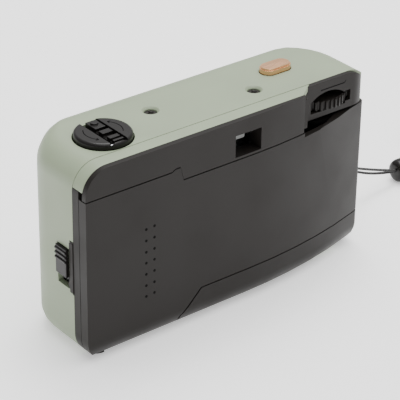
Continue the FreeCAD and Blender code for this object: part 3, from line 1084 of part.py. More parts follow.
def tube(label, points, radius, given=None):
    """A cord's plain solid: a round section swept along its path."""
    path = cord_path(label, points, given)
    start = path.Edges[0]
    along = start.tangentAt(start.FirstParameter)
    section = Part.Wire([Part.Circle(start.valueAt(start.FirstParameter), along, radius).toShape()])
    item = doc.addObject("Part::Feature", label + "_tube")
    item.Shape = path.makePipeShell([section], True, True)
    full = math.pi * radius ** 2 * path.Length
    print(label, "length", round(path.Length, 1), "volume share", round(item.Shape.Volume / full, 4))
    return node(item, label)


# the thin loop goes from the lock up to the lug, round it and back to the lock
LUG_TURN = size("lug_radius + loop_radius")
UP = [(-90.52, -8.2, 4.9), (-81.3, -7.7, 8.2), (-70.0, -7.1, 12.9), (-60.5, -5.6, 17.5),
      (-56.2, size("lug_y") + LUG_TURN, 20.0),
      (size("lug_x") + LUG_TURN, size("lug_y") + LUG_TURN, 21.0)]
DOWN = [(size("lug_x") + LUG_TURN, size("lug_y") - LUG_TURN, 21.0),
        (-56.2, size("lug_y") - LUG_TURN, 19.8), (-60.5, -7.5, 16.6), (-70.5, -7.8, 11.2),
        (-81.8, -8.4, 6.1), (-90.52, -8.7, 4.2)]
tube("strap_loop", UP + DOWN, size("loop_radius"), {5: 0.98 * LUG_TURN, 6: 0.98 * LUG_TURN})

LOCK = ("-8.4", "lock_radius")
lock_body = rod("lock_body", "X", LOCK, ("-99.2", "-91.8"), "lock_radius")
lock_near = cone("lock_near", "X", LOCK, ("-91.8", "-90.65"), "lock_radius", "lock_radius - 1.2")
lock_far = cone("lock_far", "X", LOCK, ("-100.4", "-99.2"), "lock_radius - 1.2", "lock_radius")
node(join("strap_lock", lock_body, lock_near, lock_far), "strap_lock")

# the wrist cord leaves the lock, comes down to the floor and runs into its coil
WRIST_START = [(-100.6, -8.4, size("lock_radius")), (-104.6, -8.6, 3.2), (-108.8, -8.9, 2.1),
               (-113.2, -9.1, 1.4), (-117.9, -8.9, 1.4)]
tube("wrist_lead", WRIST_START, size("wrist_radius"))
coil_outer = rod("coil_outer", "Z", ("coil_x", "coil_y"), ("0.4", "4.4"), "13")
coil_inner = rod("coil_inner", "Z", ("coil_x", "coil_y"), ("0", "5"), "9")
node(cut("wrist_coil", coil_outer, coil_inner), "wrist_coil")
tie_outer = box("tie_outer", ("coil_x - 13.5", "coil_x - 8.5"), ("coil_y - 2", "coil_y + 2"),
                ("0", "4.8"))
tie_inner = rod("tie_inner", "Z", ("coil_x", "coil_y"), ("0.36", "4.44"), "13.05")
tie_core = rod("tie_core", "Z", ("coil_x", "coil_y"), ("0", "5"), "8.95")
node(cut("strap_tie", tie_outer, cut("tie_room", tie_inner, tie_core)), "strap_tie")

# ---- checks and files ---------------------------------------------------------------------------

doc.recompute()
for item in doc.Objects:
    if "Invalid" in item.State or "Error" in item.State:
        raise RuntimeError(f"{item.Label} failed: {item.State}")
for item in NODES:
    if item.Shape.isNull() or not item.Shape.isValid() or item.Shape.Volume <= 0:
        raise RuntimeError(f"{item.Label} has no valid shape")
os.makedirs("parts", exist_ok=True)
for item in NODES:
    item.Shape.exportStep(f"parts/{item.Label}.step")
print(len(NODES), "parts written")
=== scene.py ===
import json
import math

import bmesh
import bpy
from mathutils import Matrix, Vector


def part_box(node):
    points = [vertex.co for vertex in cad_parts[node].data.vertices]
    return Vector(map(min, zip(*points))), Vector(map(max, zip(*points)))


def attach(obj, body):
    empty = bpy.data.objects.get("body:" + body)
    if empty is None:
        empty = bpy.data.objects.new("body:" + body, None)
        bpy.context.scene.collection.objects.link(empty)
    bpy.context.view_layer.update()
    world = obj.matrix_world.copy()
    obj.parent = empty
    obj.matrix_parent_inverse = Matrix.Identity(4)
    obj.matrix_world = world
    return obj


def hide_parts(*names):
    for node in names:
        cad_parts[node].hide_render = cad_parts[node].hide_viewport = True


# Half frame camera seen from the back, standing on a pale floor with its wrist cord beside it.
# Sizes are in millimetres times MM; +X is the rewind end, +Y the back, +Z up.

MM = 0.001
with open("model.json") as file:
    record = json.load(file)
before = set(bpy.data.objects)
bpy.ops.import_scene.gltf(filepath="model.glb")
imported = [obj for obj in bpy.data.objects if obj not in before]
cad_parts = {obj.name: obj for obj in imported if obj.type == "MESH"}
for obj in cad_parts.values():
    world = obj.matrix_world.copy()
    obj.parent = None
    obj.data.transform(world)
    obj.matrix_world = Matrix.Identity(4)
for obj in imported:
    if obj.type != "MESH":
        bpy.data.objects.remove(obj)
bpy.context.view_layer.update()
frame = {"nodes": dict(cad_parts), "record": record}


def mm(x, y, z):
    return Vector((x * MM, y * MM, z * MM))


# ---- camera -------------------------------------------------------------------------------------

IMAGE_PIXELS = 400
FOCAL_PIXELS = 1894.2
AZIMUTH, ELEVATION, ROLL = math.radians(141.3), math.radians(29.25), math.radians(0.87)
DISTANCE = 565.0
AIM = (-0.9, 1.7, 31.0)
SHIFT_RIGHT, SHIFT_UP = -1.23, -2.49
SENSOR_WIDTH = 36


def make_camera():
    back = Vector((math.sin(AZIMUTH) * math.cos(ELEVATION), -math.cos(AZIMUTH) * math.cos(ELEVATION),
                   math.sin(ELEVATION)))
    right = (-back).cross(Vector((0, 0, 1))).normalized()
    up = right.cross(-back)
    right, up = (right * math.cos(ROLL) + up * math.sin(ROLL), up * math.cos(ROLL) - right * math.sin(ROLL))
    eye = mm(*AIM) + (right * SHIFT_RIGHT + up * SHIFT_UP + back * DISTANCE) * MM
    data = bpy.data.cameras.new("view")
    data.sensor_width = SENSOR_WIDTH
    data.lens = FOCAL_PIXELS / IMAGE_PIXELS * SENSOR_WIDTH
    data.clip_start = 0.01
    camera = bpy.data.objects.new("view", data)
    rotation = Matrix((right, up, back)).transposed().to_4x4()
    camera.matrix_world = Matrix.Translation(eye) @ rotation
    bpy.context.collection.objects.link(camera)
    bpy.context.scene.camera = camera


make_camera()

# ---- materials ----------------------------------------------------------------------------------

NOISE_MIDDLE = (0.35, 0.65)
SLOW_SCALE = 60
LINE_SCALE = 900
STAIN_SCALE = 120
PLASTIC_IOR = 1.49
GLASS_IOR = 1.52


def srgb(red, green, blue):
    """A colour given in 0-255 display values, as linear light."""
    def linear(value):
        share = value / 255
        return share / 12.92 if share <= 0.04045 else ((share + 0.055) / 1.055) ** 2.4
    return linear(red), linear(green), linear(blue), 1.0


def mapped(tree, source, from_range, to_range):
    """Map a value from one range to another in a node tree."""
    node = tree.nodes.new("ShaderNodeMapRange")
    node.inputs["From Min"].default_value, node.inputs["From Max"].default_value = from_range
    node.inputs["To Min"].default_value, node.inputs["To Max"].default_value = to_range
    tree.links.new(source, node.inputs["Value"])
    return node.outputs["Result"]


class Surface:
    """A material whose nodes are added one by one round a Principled shader."""

    def __init__(self, name, colour, roughness, metallic=0.0, coat=0.0, specular=0.5):
        self.material = bpy.data.materials.new(name)
        self.material.use_nodes = True
        self.nodes = self.material.node_tree.nodes
        self.links = self.material.node_tree.links
        self.shader = self.nodes["Principled BSDF"]
        self.shader.inputs["Base Color"].default_value = colour
        self.shader.inputs["Roughness"].default_value = roughness
        self.shader.inputs["Metallic"].default_value = metallic
        self.shader.inputs["Coat Weight"].default_value = coat
        self.shader.inputs["Coat Roughness"].default_value = 0.25
        self.shader.inputs["Specular IOR Level"].default_value = specular
        self.place = self.nodes.new("ShaderNodeTexCoord").outputs["Object"]
        self.colour = colour
        self.height = None

    def texture(self, kind, scale, stretch=(1, 1, 1), **inputs):
        mapping = self.nodes.new("ShaderNodeMapping")
        mapping.inputs["Scale"].default_value = stretch
        self.links.new(self.place, mapping.inputs["Vector"])
        texture = self.nodes.new(kind)
        texture.inputs["Scale"].default_value = scale
        for key, value in inputs.items():
            texture.inputs[key].default_value = value
        self.links.new(mapping.outputs["Vector"], texture.inputs["Vector"])
        return texture

    def tint(self, source, dark, light):
        """Vary the base colour between two shades of it."""
        mix = self.nodes.new("ShaderNodeMix")
        mix.data_type = "RGBA"
        mix.inputs["A"].default_value = [c * dark for c in self.colour[:3]] + [1]
        mix.inputs["B"].default_value = [min(1, c * light) for c in self.colour[:3]] + [1]
        self.links.new(source, mix.inputs["Factor"])
        self.links.new(mix.outputs["Result"], self.shader.inputs["Base Color"])

    def rough(self, source, low, high):
        """Vary the roughness between two values over the middle of a noise."""
        result = mapped(self.material.node_tree, source, NOISE_MIDDLE, (low, high))
        self.links.new(result, self.shader.inputs["Roughness"])

    def bump(self, source, depth, strength=0.5):
        """Add a bump of the given depth in metres; bumps stack."""
        node = self.nodes.new("ShaderNodeBump")
        node.inputs["Distance"].default_value = depth
        node.inputs["Strength"].default_value = strength
        self.links.new(source, node.inputs["Height"])
        if self.height is not None:
            self.links.new(self.height, node.inputs["Normal"])
        self.height = node.outputs["Normal"]
        self.links.new(self.height, self.shader.inputs["Normal"])

    def see_through(self, ior):
        self.shader.inputs["Transmission Weight"].default_value = 1.0
        self.shader.inputs["IOR"].default_value = ior


def moulded(name, colour, roughness, grain=3200, depth=0.00003, spread=0.07, **extra):
    """Moulded plastic: a fine spark grain, slow waviness, and slightly uneven gloss and colour."""
    surface = Surface(name, colour, roughness, **extra)
    fine = surface.texture("ShaderNodeTexNoise", grain, Detail=2.0)
    slow = surface.texture("ShaderNodeTexNoise", SLOW_SCALE, Detail=3.0)
    surface.tint(slow.outputs["Fac"], 0.93, 1.07)
    surface.rough(slow.outputs["Fac"], roughness - spread, roughness + spread)
    surface.bump(slow.outputs["Fac"], 0.00005, 0.15)
    surface.bump(fine.outputs["Fac"], depth, 0.35)
    return surface.material


def metal(name, colour, roughness, stretch):
    """Drawn or turned metal with fine lines along the axis of low stretch."""
    surface = Surface(name, colour, roughness, metallic=1.0)
    lines = surface.texture("ShaderNodeTexNoise", LINE_SCALE, stretch, Detail=4.0)
    stain = surface.texture("ShaderNodeTexNoise", STAIN_SCALE, Detail=3.0)
    surface.tint(stain.outputs["Fac"], 0.9, 1.08)
    surface.rough(lines.outputs["Fac"], roughness - 0.08, roughness + 0.1)
    surface.bump(lines.outputs["Fac"], 0.00001, 0.4)
    return surface.material


def clear(name, colour, roughness):
    """Glass with a faint waviness."""
    surface = Surface(name, colour, roughness)
    surface.see_through(GLASS_IOR)
    wave = surface.texture("ShaderNodeTexNoise", 90, Detail=1.0)
    surface.bump(wave.outputs["Fac"], 0.00002, 0.1)
    return surface.material


def ridged(name, colour, rib_scale):
    """Clear plastic with upright ribs, as on a flash window."""
    surface = Surface(name, colour, 0.12)
    surface.see_through(PLASTIC_IOR)
    ribs = surface.texture("ShaderNodeTexWave", rib_scale, Distortion=0.0)
    ribs.bands_direction = "X"
    surface.bump(ribs.outputs["Fac"], 0.0002, 0.8)
    return surface.material


def braided(name, colour):
    """Braided cord: a fine diagonal weave with sheen."""
    surface = Surface(name, colour, 0.75, specular=0.3)
    surface.shader.inputs["Sheen Weight"].default_value = 0.25
    weave = surface.texture("ShaderNodeTexVoronoi", 1500, (1, 1, 0.6))
    fibre = surface.texture("ShaderNodeTexNoise", 5200, Detail=3.0)
    surface.tint(fibre.outputs["Fac"], 0.6, 1.5)
    surface.bump(weave.outputs["Distance"], 0.0003, 0.7)
    return surface.material


def printed_board(name, colour):
    """Circuit board: green lacquer with a raised copper grid under it."""
    surface = Surface(name, colour, 0.35, coat=0.4)
    tracks = surface.texture("ShaderNodeTexBrick", 300)
    surface.tint(tracks.outputs["Fac"], 0.8, 1.6)
    surface.bump(tracks.outputs["Fac"], 0.00005, 0.5)
    return surface.material


GREEN = moulded("green_plastic", srgb(139, 151, 126), 0.45, grain=2600, depth=0.00004)
BLACK = moulded("black_plastic", srgb(30, 27, 25), 0.40, grain=3600, depth=0.00003, specular=0.16)
BLACK_SMOOTH = moulded("black_smooth", srgb(20, 18, 17), 0.28, grain=5200, depth=0.00001, specular=0.25)
INNER = moulded("inner_plastic", srgb(20, 19, 19), 0.62, grain=2400, depth=0.00005, specular=0.2)
GREY = moulded("grey_plastic", srgb(52, 48, 43), 0.40, grain=3800, depth=0.00002, specular=0.28)
COPPER = metal("copper_plate", srgb(236, 184, 142), 0.2, (0.2, 1, 1))
STEEL = metal("steel", srgb(186, 186, 188), 0.3, (1, 1, 0.15))
# dark steel for the case screws, darkened further as painted shade for their deep holes
HOLE_SHADED_STEEL = metal("steel_with_painted_hole_shade", srgb(52, 50, 48), 0.45, (1, 1, 0.3))
REFLECTOR = metal("bright_metal", srgb(225, 225, 228), 0.12, (0.1, 1, 1))
CONTACT = metal("contact_metal", srgb(205, 178, 112), 0.3, (1, 0.2, 1))
GLASS = clear("clear_glass", srgb(236, 244, 243), 0.02)
CLEAR = ridged("clear_plastic", srgb(235, 237, 236), 380)
WRAP = moulded("cell_wrap", srgb(44, 50, 62), 0.28, grain=900, depth=0.00001, coat=0.5)
BOARD = printed_board("board_green", srgb(44, 96, 62))
FOAM = moulded("black_foam", srgb(26, 26, 27), 0.9, grain=1500, depth=0.0003)
CORD = braided("black_cord", srgb(33, 31, 31))
# painted shade: a near-black finish on the door dots, knob arrows and housing line, standing in for the
# shade in their hollows and grooves
PAINTED_SHADE = moulded("painted_groove_shade", srgb(9, 8, 8), 0.85, grain=2400, depth=0.00002, specular=0.08)
# painted light: the finder pane glows to stand in for the light that passes through the viewfinder
VIEW_LIGHT = moulded("finder_light", srgb(120, 122, 120), 0.3, grain=900, depth=0.00001)
glow = VIEW_LIGHT.node_tree.nodes["Principled BSDF"].inputs
glow["Emission Color"].default_value = srgb(150, 152, 150)
glow["Emission Strength"].default_value = 0.3
SLOT_OF = {"green_plastic": GREEN, "black_plastic": BLACK, "inner_plastic": INNER, "grey_plastic": GREY,
           "copper_plate": COPPER, "clear_glass": GLASS, "clear_plastic": CLEAR, "steel": STEEL,
           "bright_metal": REFLECTOR, "contact_metal": CONTACT, "cell_wrap": WRAP, "board_green": BOARD,
           "black_foam": FOAM, "black_cord": CORD}
MATERIAL_OF = {part["node"]: part["material_slot"] for part in frame["record"]["subparts"]}
BODY_OF = {node: body for body, nodes in frame["record"]["behaviour"]["bodies"].items() for node in nodes}

# ---- making pieces ------------------------------------------------------------------------------

WELD_DISTANCE = 0.002
FLAT_ANGLE = 0.6
SHARP_ANGLE = 28


def piece(name, mesh, body, slot, material=None):
    """A new object in the scene that rides on a body and takes its finish from a record slot."""
    item = bpy.data.objects.new(name, mesh)
    bpy.context.collection.objects.link(item)
    item.data.materials.clear()
    item.data.materials.append(material or SLOT_OF[slot])
    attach(item, body)
    return item


def from_bmesh(name, form, body, slot, material=None, smooth_angle=35):
    """Turn a bmesh into a piece, smooth except where its faces meet sharply."""
    bmesh.ops.recalc_face_normals(form, faces=form.faces)
    for face in form.faces:
        face.smooth = True
    for edge in form.edges:
        sharp = len(edge.link_faces) != 2 or edge.calc_face_angle(0) > math.radians(smooth_angle)
        edge.smooth = not sharp
    mesh = bpy.data.meshes.new(name)
    form.to_mesh(mesh)
    form.free()
    return piece(name, mesh, body, slot, material)


def refined(node, width, segments=2, rounds=(), material=None):
    """The skin of a CAD node with its sharp edges broken.

    rounds lists (test, width): an edge whose middle passes the test gets that larger rounding.
    """
    form = bmesh.new()
    form.from_mesh(frame["nodes"][node].data)
    bmesh.ops.remove_doubles(form, verts=form.verts, dist=WELD_DISTANCE * MM)
    bmesh.ops.dissolve_limit(form, angle_limit=math.radians(FLAT_ANGLE), verts=form.verts,
                             edges=form.edges)
    widest = max([width] + [w for _, w in rounds])
    weight = form.edges.layers.float.new("bevel_weight_edge")
    for face in form.faces:
        face.smooth = True
    for edge in form.edges:
        sharp = len(edge.link_faces) == 2 and edge.calc_face_angle(0) > math.radians(SHARP_ANGLE)
        if not sharp:
            continue
        middle = (edge.verts[0].co + edge.verts[1].co) / (2 * MM)
        share = width
        for test, larger in rounds:
            if test(middle):
                share = larger
        edge[weight] = share / widest
    mesh = bpy.data.meshes.new(node + "_skin")
    form.to_mesh(mesh)
    form.free()
    item = piece(node + "_skin", mesh, BODY_OF[node], MATERIAL_OF[node], material)
    bevel = item.modifiers.new("edges", "BEVEL")
    bevel.limit_method = "WEIGHT"
    bevel.width = widest * MM
    bevel.segments = segments
    bevel.use_clamp_overlap = True
    bevel.harden_normals = True
    bevel.miter_outer = "MITER_ARC"
    normals = item.modifiers.new("normals", "WEIGHTED_NORMAL")
    normals.mode = "FACE_AREA"
    normals.weight = 100
    normals.keep_sharp = True
    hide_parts(node)
    return item


def turned(form, profile, centre, axis, steps):
    """Revolve (radius, height) points about an X or Y axis through the centre, in millimetres."""
    turn = {"X": Matrix.Rotation(math.pi / 2, 3, "Y"),
            "Y": Matrix.Rotation(-math.pi / 2, 3, "X")}[axis]
    base = Vector(centre)
    rings = []
    for radius, height in profile:
        ring = []
        for i in range(steps if radius > 1e-6 else 1):
            a = 2 * math.pi * i / steps
            spot = base + turn @ Vector((radius * math.cos(a), radius * math.sin(a), height))
            ring.append(form.verts.new(spot * MM))
        rings.append(ring)
    for low, high in zip(rings, rings[1:]):
        for i in range(steps):
            j = (i + 1) % steps
            if len(low) == 1:
                form.faces.new((low[0], high[i], high[j]))
            elif len(high) == 1:
                form.faces.new((low[i], low[j], high[0]))
            else:
                form.faces.new((low[i], low[j], high[j], high[i]))
    return form


def lofted(form, rings):
    """Join closed rings of points, in millimetres, by quads, and cap both ends."""
    rows = [[form.verts.new(Vector(p) * MM) for p in ring] for ring in rings]
    count = len(rows[0])
    for low, high in zip(rows, rows[1:]):
        for i in range(count):
            j = (i + 1) % count
            form.faces.new((low[i], low[j], high[j], high[i]))
    form.faces.new(rows[0])
    form.faces.new(list(reversed(rows[-1])))


def rounded_outline(centre, size, radius, steps):
    """Points of a rounded rectangle about a centre, in its own plane."""
    points = []
    half = (size[0] / 2 - radius, size[1] / 2 - radius)
    for quarter, (sx, sy) in enumerate(((1, 1), (-1, 1), (-1, -1), (1, -1))):
        for i in range(steps + 1):
            a = (quarter + i / steps) * math.pi / 2
            points.append((centre[0] + sx * half[0] + radius * math.cos(a),
                           centre[1] + sy * half[1] + radius * math.sin(a)))
    return points


# ---- cords --------------------------------------------------------------------------------------


def cord_piece(name, points, diameter):
    """A round cord on one smooth open spline through control points in metres."""
    curve = bpy.data.curves.new(name, "CURVE")
    curve.dimensions = "3D"
    curve.bevel_depth = diameter / 2
    curve.bevel_resolution = 4
    curve.resolution_u = 8
    curve.use_fill_caps = True
    spline = curve.splines.new("NURBS")
    spline.points.add(len(points) - 1)
    for spot, (x, y, z) in zip(spline.points, points):
        spot.co = (x, y, z, 1)
    spline.order_u = 3
    spline.use_endpoint_u = True
    item = bpy.data.objects.new(name, curve)
    bpy.context.collection.objects.link(item)
    curve.materials.append(CORD)
    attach(item, "camera")
    return item


LUG = (-0.0539, -0.0060, 0.0210)
TURN = 0.00125
LOOP = [(-0.09052, -0.0082, 0.0049), (-0.0813, -0.0077, 0.0082), (-0.0700, -0.0071, 0.0129),
        (-0.0605, -0.0056, 0.0175), (-0.0562, LUG[1] + TURN, 0.0200), (LUG[0] + TURN, LUG[1] + TURN, LUG[2]),
        (LUG[0] + TURN, LUG[1] - TURN, LUG[2]), (-0.0562, LUG[1] - TURN, 0.0198),
        (-0.0605, -0.0075, 0.0166), (-0.0705, -0.0078, 0.0112), (-0.0818, -0.0084, 0.0061),
        (-0.09052, -0.0087, 0.0042)]
WRIST = [(-0.1006, -0.0084, 0.0040), (-0.1046, -0.0086, 0.0032), (-0.1088, -0.0089, 0.0021),
         (-0.1132, -0.0091, 0.0014), (-0.1179, -0.0089, 0.0014)]
COIL_CENTRE = (-0.1260, -0.0200)
COIL_LAYERS = [(0.01205, 0.0014), (0.00995, 0.0014), (0.00995, 0.0034), (0.01205, 0.0034)]
COIL_START = math.radians(72)
COIL_STEPS = 16
SHIFT_FROM = 0.75
WRIST_DIAMETER = 0.0020
LOOP_DIAMETER = 0.0009


def coil_turns():
    """Two layers of two turns each; each turn shifts to the next over its last quarter."""
    points = []
    for turn, (radius, height) in enumerate(COIL_LAYERS):
        after = COIL_LAYERS[min(turn + 1, len(COIL_LAYERS) - 1)]
        for i in range(COIL_STEPS):
            share = i / COIL_STEPS
            ease = max(0.0, (share - SHIFT_FROM) / (1 - SHIFT_FROM))
            a = COIL_START + 2 * math.pi * share
            r = radius + (after[0] - radius) * ease
            z = height + (after[1] - height) * ease
            points.append((COIL_CENTRE[0] + r * math.cos(a), COIL_CENTRE[1] + r * math.sin(a), z))
    return points


def make_cords():
    lock = make_lock()
    tie = refined("strap_tie", width=0.3, material=CORD)
    loop = cord_piece("strap_loop_cord", LOOP, LOOP_DIAMETER)
    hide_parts("strap_loop")
    route = WRIST + coil_turns()
    wrist = cord_piece("wrist_cord", route, WRIST_DIAMETER)
    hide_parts("wrist_lead", "wrist_coil")


def make_lock():
    """The cord lock: a rounded barrel with two shallow grooves round its middle."""
    low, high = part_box("strap_lock")
    centre = (low + high) / 2 / MM
    half = (high[0] - low[0]) / 2 / MM
    radius = (high[2] - low[2]) / 2 / MM
    profile = [(0, -half), (radius * 0.40, -half), (radius * 0.66, -half + 0.15),
               (radius * 0.86, -half + 0.7), (radius * 0.96, -half + 1.5), (radius, -half + 2.4),
               (radius, -1.4), (radius * 0.93, -1.15), (radius * 0.93, -0.75), (radius, -0.5),
               (radius, 0.5), (radius * 0.93, 0.75), (radius * 0.93, 1.15), (radius, 1.4),
               (radius, half - 2.4), (radius * 0.96, half - 1.5), (radius * 0.86, half - 0.7),
               (radius * 0.66, half - 0.15), (radius * 0.40, half), (0, half)]
    form = turned(bmesh.new(), profile, centre, "X", 48)
    item = from_bmesh("cord_lock", form, "camera", "grey_plastic", BLACK_SMOOTH, 40)
    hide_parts("strap_lock")
    return item


make_cords()

# ---- the case -----------------------------------------------------------------------------------

NEAR = 0.1
CORNER_X, CORNER_Z = 46, 54
DOOR_END_X = 54.0
TOP_ROUND, DOOR_ROUND = 1.6, 1.5


def make_case():
    refined("front_cover", 0.3)
    refined("top_band", 0.3)
    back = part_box("rear_frame")[1][1] / MM
    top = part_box("rear_frame")[1][2] / MM

    def top_rear_edge(p):
        corner = p.x > CORNER_X and p.z > CORNER_Z
        return p.y > back - NEAR and (p.z > top - NEAR or corner)

    refined("rear_frame", 0.3, 4, rounds=[(top_rear_edge, TOP_ROUND)])

    def door_end_edge(p):
        return p.x > DOOR_END_X and p.y > back - NEAR

    refined("back_door", 0.35, 4, rounds=[(door_end_edge, DOOR_ROUND)])
    refined("battery_cover", 0.35, 3)


make_case()

# ---- small details on the case and the door -----------------------------------------------------

BACK_Y = 19.0
HOUSING_Y = 13.9
DOT_COLUMNS = ((33.6, 0.0), (30.7, 0.25))
DOT_LEVELS = (38.0, 34.3, 30.6, 27.0, 23.3, 19.5, 15.9)
DOT_PROFILE = [(0, 0.012), (0.2, 0.014), (0.3, 0.03), (0.38, 0.045), (0.44, 0.03), (0.46, -0.1),
               (0, -0.1)]
MARK_ARCS = ((-38, 42), (142, 222))
MARK_SHARE = 0.66
MARK_RISE, MARK_DEPTH = 0.02, 0.12
ARC_WIDTH, HEAD_WIDTH = 0.28, 0.26
HEAD_LEAN, HEAD_LENGTH = 0.75, 0.95
LINE_PATH = [(-34.9, 59.3), (-44.2, 59.3), (-44.8, 59.9)]
LINE_SUNK, LINE_PROUD, LINE_HALF = 0.1, 0.03, 0.16
PLATE_OUTLINE = [(12.45, 37.9), (11.4, 37.7), (10.6, 36.9), (10.55, 35.4), (10.5, 24.6), (10.0, 23.8),
                 (10.2, 22.8), (11.0, 21.6), (12.45, 20.7)]
PLATE_LEVELS = (-0.05, 0.12)
PANE_SHIFT, PANE_SIZE, PANE_ROUND = (-0.1, 0.7), (4.8, 3.2), 0.4
PANE_LEVELS = (0.01, 0.04)


def make_dots():
    """Two columns of small raised marks with dished middles on the door, painted near-black as the shade in
    small pits.
    """
    form = bmesh.new()
    for column, rise in DOT_COLUMNS:
        for level in DOT_LEVELS:
            turned(form, DOT_PROFILE, (column, BACK_Y, level + rise), "Y", 14)
    from_bmesh("door_dots", form, "back_door", "inner_plastic", PAINTED_SHADE)


def ribbon(form, path, width, top, bottom):
    """A thin closed strip of the given width along an XY path, between two levels."""
    rings = []
    for i, (x, y) in enumerate(path):
        before, after = path[max(i - 1, 0)], path[min(i + 1, len(path) - 1)]
        along = Vector((after[0] - before[0], after[1] - before[1]))
        side = Vector((-along.y, along.x)).normalized() * width / 2
        rings.append([(x - side.x, y - side.y, bottom), (x + side.x, y + side.y, bottom),
                      (x + side.x, y + side.y, top), (x - side.x, y - side.y, top)])
    lofted(form, rings)


def arc_path(centre, radius, start, stop):
    """Points along an arc given in degrees."""
    steps = 20
    return [(centre[0] + radius * math.cos(math.radians(start + (stop - start) * i / steps)),
             centre[1] + radius * math.sin(math.radians(start + (stop - start) * i / steps)))
            for i in range(steps + 1)]


def make_knob_marks():
    """The turning arrows on the knob: two thin arcs with small heads, painted dark as the shade in engraved
    grooves.
    """
    low, high = [[v / MM for v in corner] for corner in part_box("rewind_knob")]
    centre = ((low[0] + high[0]) / 2, (low[1] + high[1]) / 2)
    radius = (high[0] - low[0]) / 2
    form = bmesh.new()
    top = high[2] + MARK_RISE
    arc_radius = radius * MARK_SHARE
    for start, stop in MARK_ARCS:
        arc = arc_path(centre, arc_radius, start, stop)
        ribbon(form, arc, ARC_WIDTH, top, top - MARK_DEPTH)
        tip = math.radians(stop)
        spot = (centre[0] + arc_radius * math.cos(tip), centre[1] + arc_radius * math.sin(tip))
        for lean in (HEAD_LEAN, -HEAD_LEAN):
            back = tip - math.pi / 2 + lean
            end = (spot[0] + HEAD_LENGTH * math.cos(back), spot[1] + HEAD_LENGTH * math.sin(back))
            ribbon(form, [spot, end], HEAD_WIDTH, top, top - MARK_DEPTH)
    from_bmesh("knob_marks", form, "rewind_knob", "inner_plastic", PAINTED_SHADE)


def make_housing_groove():
    """The long groove over the thumbwheel window, turned up at its -X end, drawn as a thin strip painted
    dark as the groove's shade.
    """
    form = bmesh.new()
    inner, outer = HOUSING_Y - LINE_SUNK, HOUSING_Y + LINE_PROUD
    rings = []
    for x, z in LINE_PATH:
        low, high = z - LINE_HALF, z + LINE_HALF
        rings.append([(x, inner, low), (x, outer, low), (x, outer, high), (x, inner, high)])
    lofted(form, rings)
    from_bmesh("housing_line", form, "camera", "inner_plastic", PAINTED_SHADE)


def make_latch_plate():
    """The thin half-moon plate beside the latch on the end face."""
    form = bmesh.new()
    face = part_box("front_cover")[1][0] / MM
    lofted(form, [[(face + out, y, z) for y, z in PLATE_OUTLINE] for out in PLATE_LEVELS])
    from_bmesh("latch_plate", form, "camera", "black_plastic", BLACK)


def make_finder_view():
    """The light seen through the finder, painted as a pale glowing pane on the eyepiece."""
    low, high = [[v / MM for v in corner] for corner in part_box("eyepiece_lens")]
    middle = ((low[0] + high[0]) / 2, (low[2] + high[2]) / 2)
    form = bmesh.new()
    centre = (middle[0] + PANE_SHIFT[0], middle[1] + PANE_SHIFT[1])
    outline = rounded_outline(centre, PANE_SIZE, PANE_ROUND, 4)
    lofted(form, [[(x, high[1] + out, z) for x, z in outline] for out in PANE_LEVELS])
    from_bmesh("finder_view", form, "camera", "clear_glass", VIEW_LIGHT)


make_dots()
make_latch_plate()
make_finder_view()
make_knob_marks()
make_housing_groove()

# ---- the small parts with broken edges, then a finish for every CAD node ------------------------

# the case screws take the darkened steel that paints the shade of their deep holes
FINISH_OF = {"rewind_knob": BLACK_SMOOTH, "rewind_crank": BLACK_SMOOTH, "latch_slider": BLACK_SMOOTH,
             "thumbwheel": BLACK, "case_screws": HOLE_SHADED_STEEL}
for name, width in (("rewind_knob", 0.15), ("rewind_crank", 0.15), ("shutter_button", 0.45),
                    ("thumbwheel", 0.15), ("latch_slider", 0.3), ("latch_guide", 0.15),
                    ("lens_ring", 0.15), ("lens_barrel", 0.15), ("flash_window", 0.15),
                    ("rewind_release", 0.15), ("case_screws", 0.12), ("eyepiece_lens", 0.12),
                    ("strap_lug", 0.15)):
    refined(name, width, 3, material=FINISH_OF.get(name))
for name, item in frame["nodes"].items():
    item.data.materials.clear()
    item.data.materials.append(SLOT_OF[MATERIAL_OF[name]])


# ---- floor and light ----------------------------------------------------------------------------

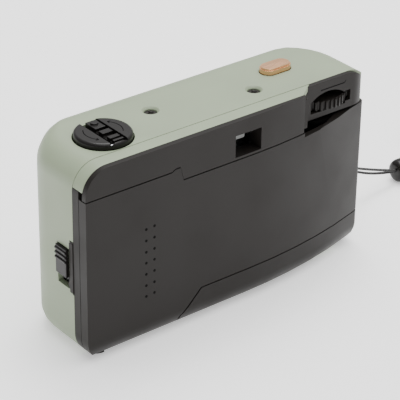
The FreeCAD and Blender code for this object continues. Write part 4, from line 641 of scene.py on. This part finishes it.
FLOOR_SIZE, FLOOR_GLOW = 3.0, 0.5
LIGHTS = (("key", (-0.35, -0.35, 1.1), (0, 0, 0.03), (0.6, 0.6), 9),
          ("top", (0.0, 0.2, 1.3), (0, 0, 0), (1.2, 1.2), 13))
SKY_LEVELS, SKY_STRENGTHS = (0.0, 0.8), (0.32, 1.25)
SIDE_LEVELS, SIDE_STRENGTHS = (-0.7, 0.7), (1.25, 0.6)


def make_stage():
    """A pale floor that glows a little, to reach the near-white of the photo."""
    form = bmesh.new()
    bmesh.ops.create_grid(form, x_segments=8, y_segments=8, size=FLOOR_SIZE)
    mesh = bpy.data.meshes.new("floor")
    form.to_mesh(mesh)
    form.free()
    floor = bpy.data.objects.new("floor", mesh)
    bpy.context.collection.objects.link(floor)
    surface = Surface("floor", srgb(250, 250, 250), 0.8, specular=0.2)
    surface.shader.inputs["Emission Color"].default_value = (1, 1, 1, 1)
    surface.shader.inputs["Emission Strength"].default_value = FLOOR_GLOW
    noise = surface.texture("ShaderNodeTexNoise", 3, Detail=2.0)
    surface.tint(noise.outputs["Fac"], 0.995, 1.005)
    mesh.materials.append(surface.material)


def area_light(name, place, target, size, power):
    data = bpy.data.lights.new(name, "AREA")
    data.shape = "RECTANGLE"
    data.size, data.size_y = size
    data.energy = power
    lamp = bpy.data.objects.new(name, data)
    lamp.location = place
    lamp.rotation_euler = (Vector(target) - Vector(place)).to_track_quat("-Z", "Y").to_euler()
    bpy.context.collection.objects.link(lamp)


make_stage()
for light in LIGHTS:
    area_light(*light)


def make_world():
    """A soft studio: bright overhead, dimmer low down and on the +X side."""
    world = bpy.data.worlds.new("studio")
    world.use_nodes = True
    tree = world.node_tree
    nodes, links = tree.nodes, tree.links
    split = nodes.new("ShaderNodeSeparateXYZ")
    links.new(nodes.new("ShaderNodeTexCoord").outputs["Generated"], split.inputs["Vector"])
    height = mapped(tree, split.outputs["Z"], SKY_LEVELS, SKY_STRENGTHS)
    side = mapped(tree, split.outputs["X"], SIDE_LEVELS, SIDE_STRENGTHS)
    product = nodes.new("ShaderNodeMath")
    product.operation = "MULTIPLY"
    links.new(height, product.inputs[0])
    links.new(side, product.inputs[1])
    links.new(product.outputs["Value"], nodes["Background"].inputs["Strength"])
    nodes["Background"].inputs["Color"].default_value = (1, 1, 1, 1)
    bpy.context.scene.world = world


make_world()
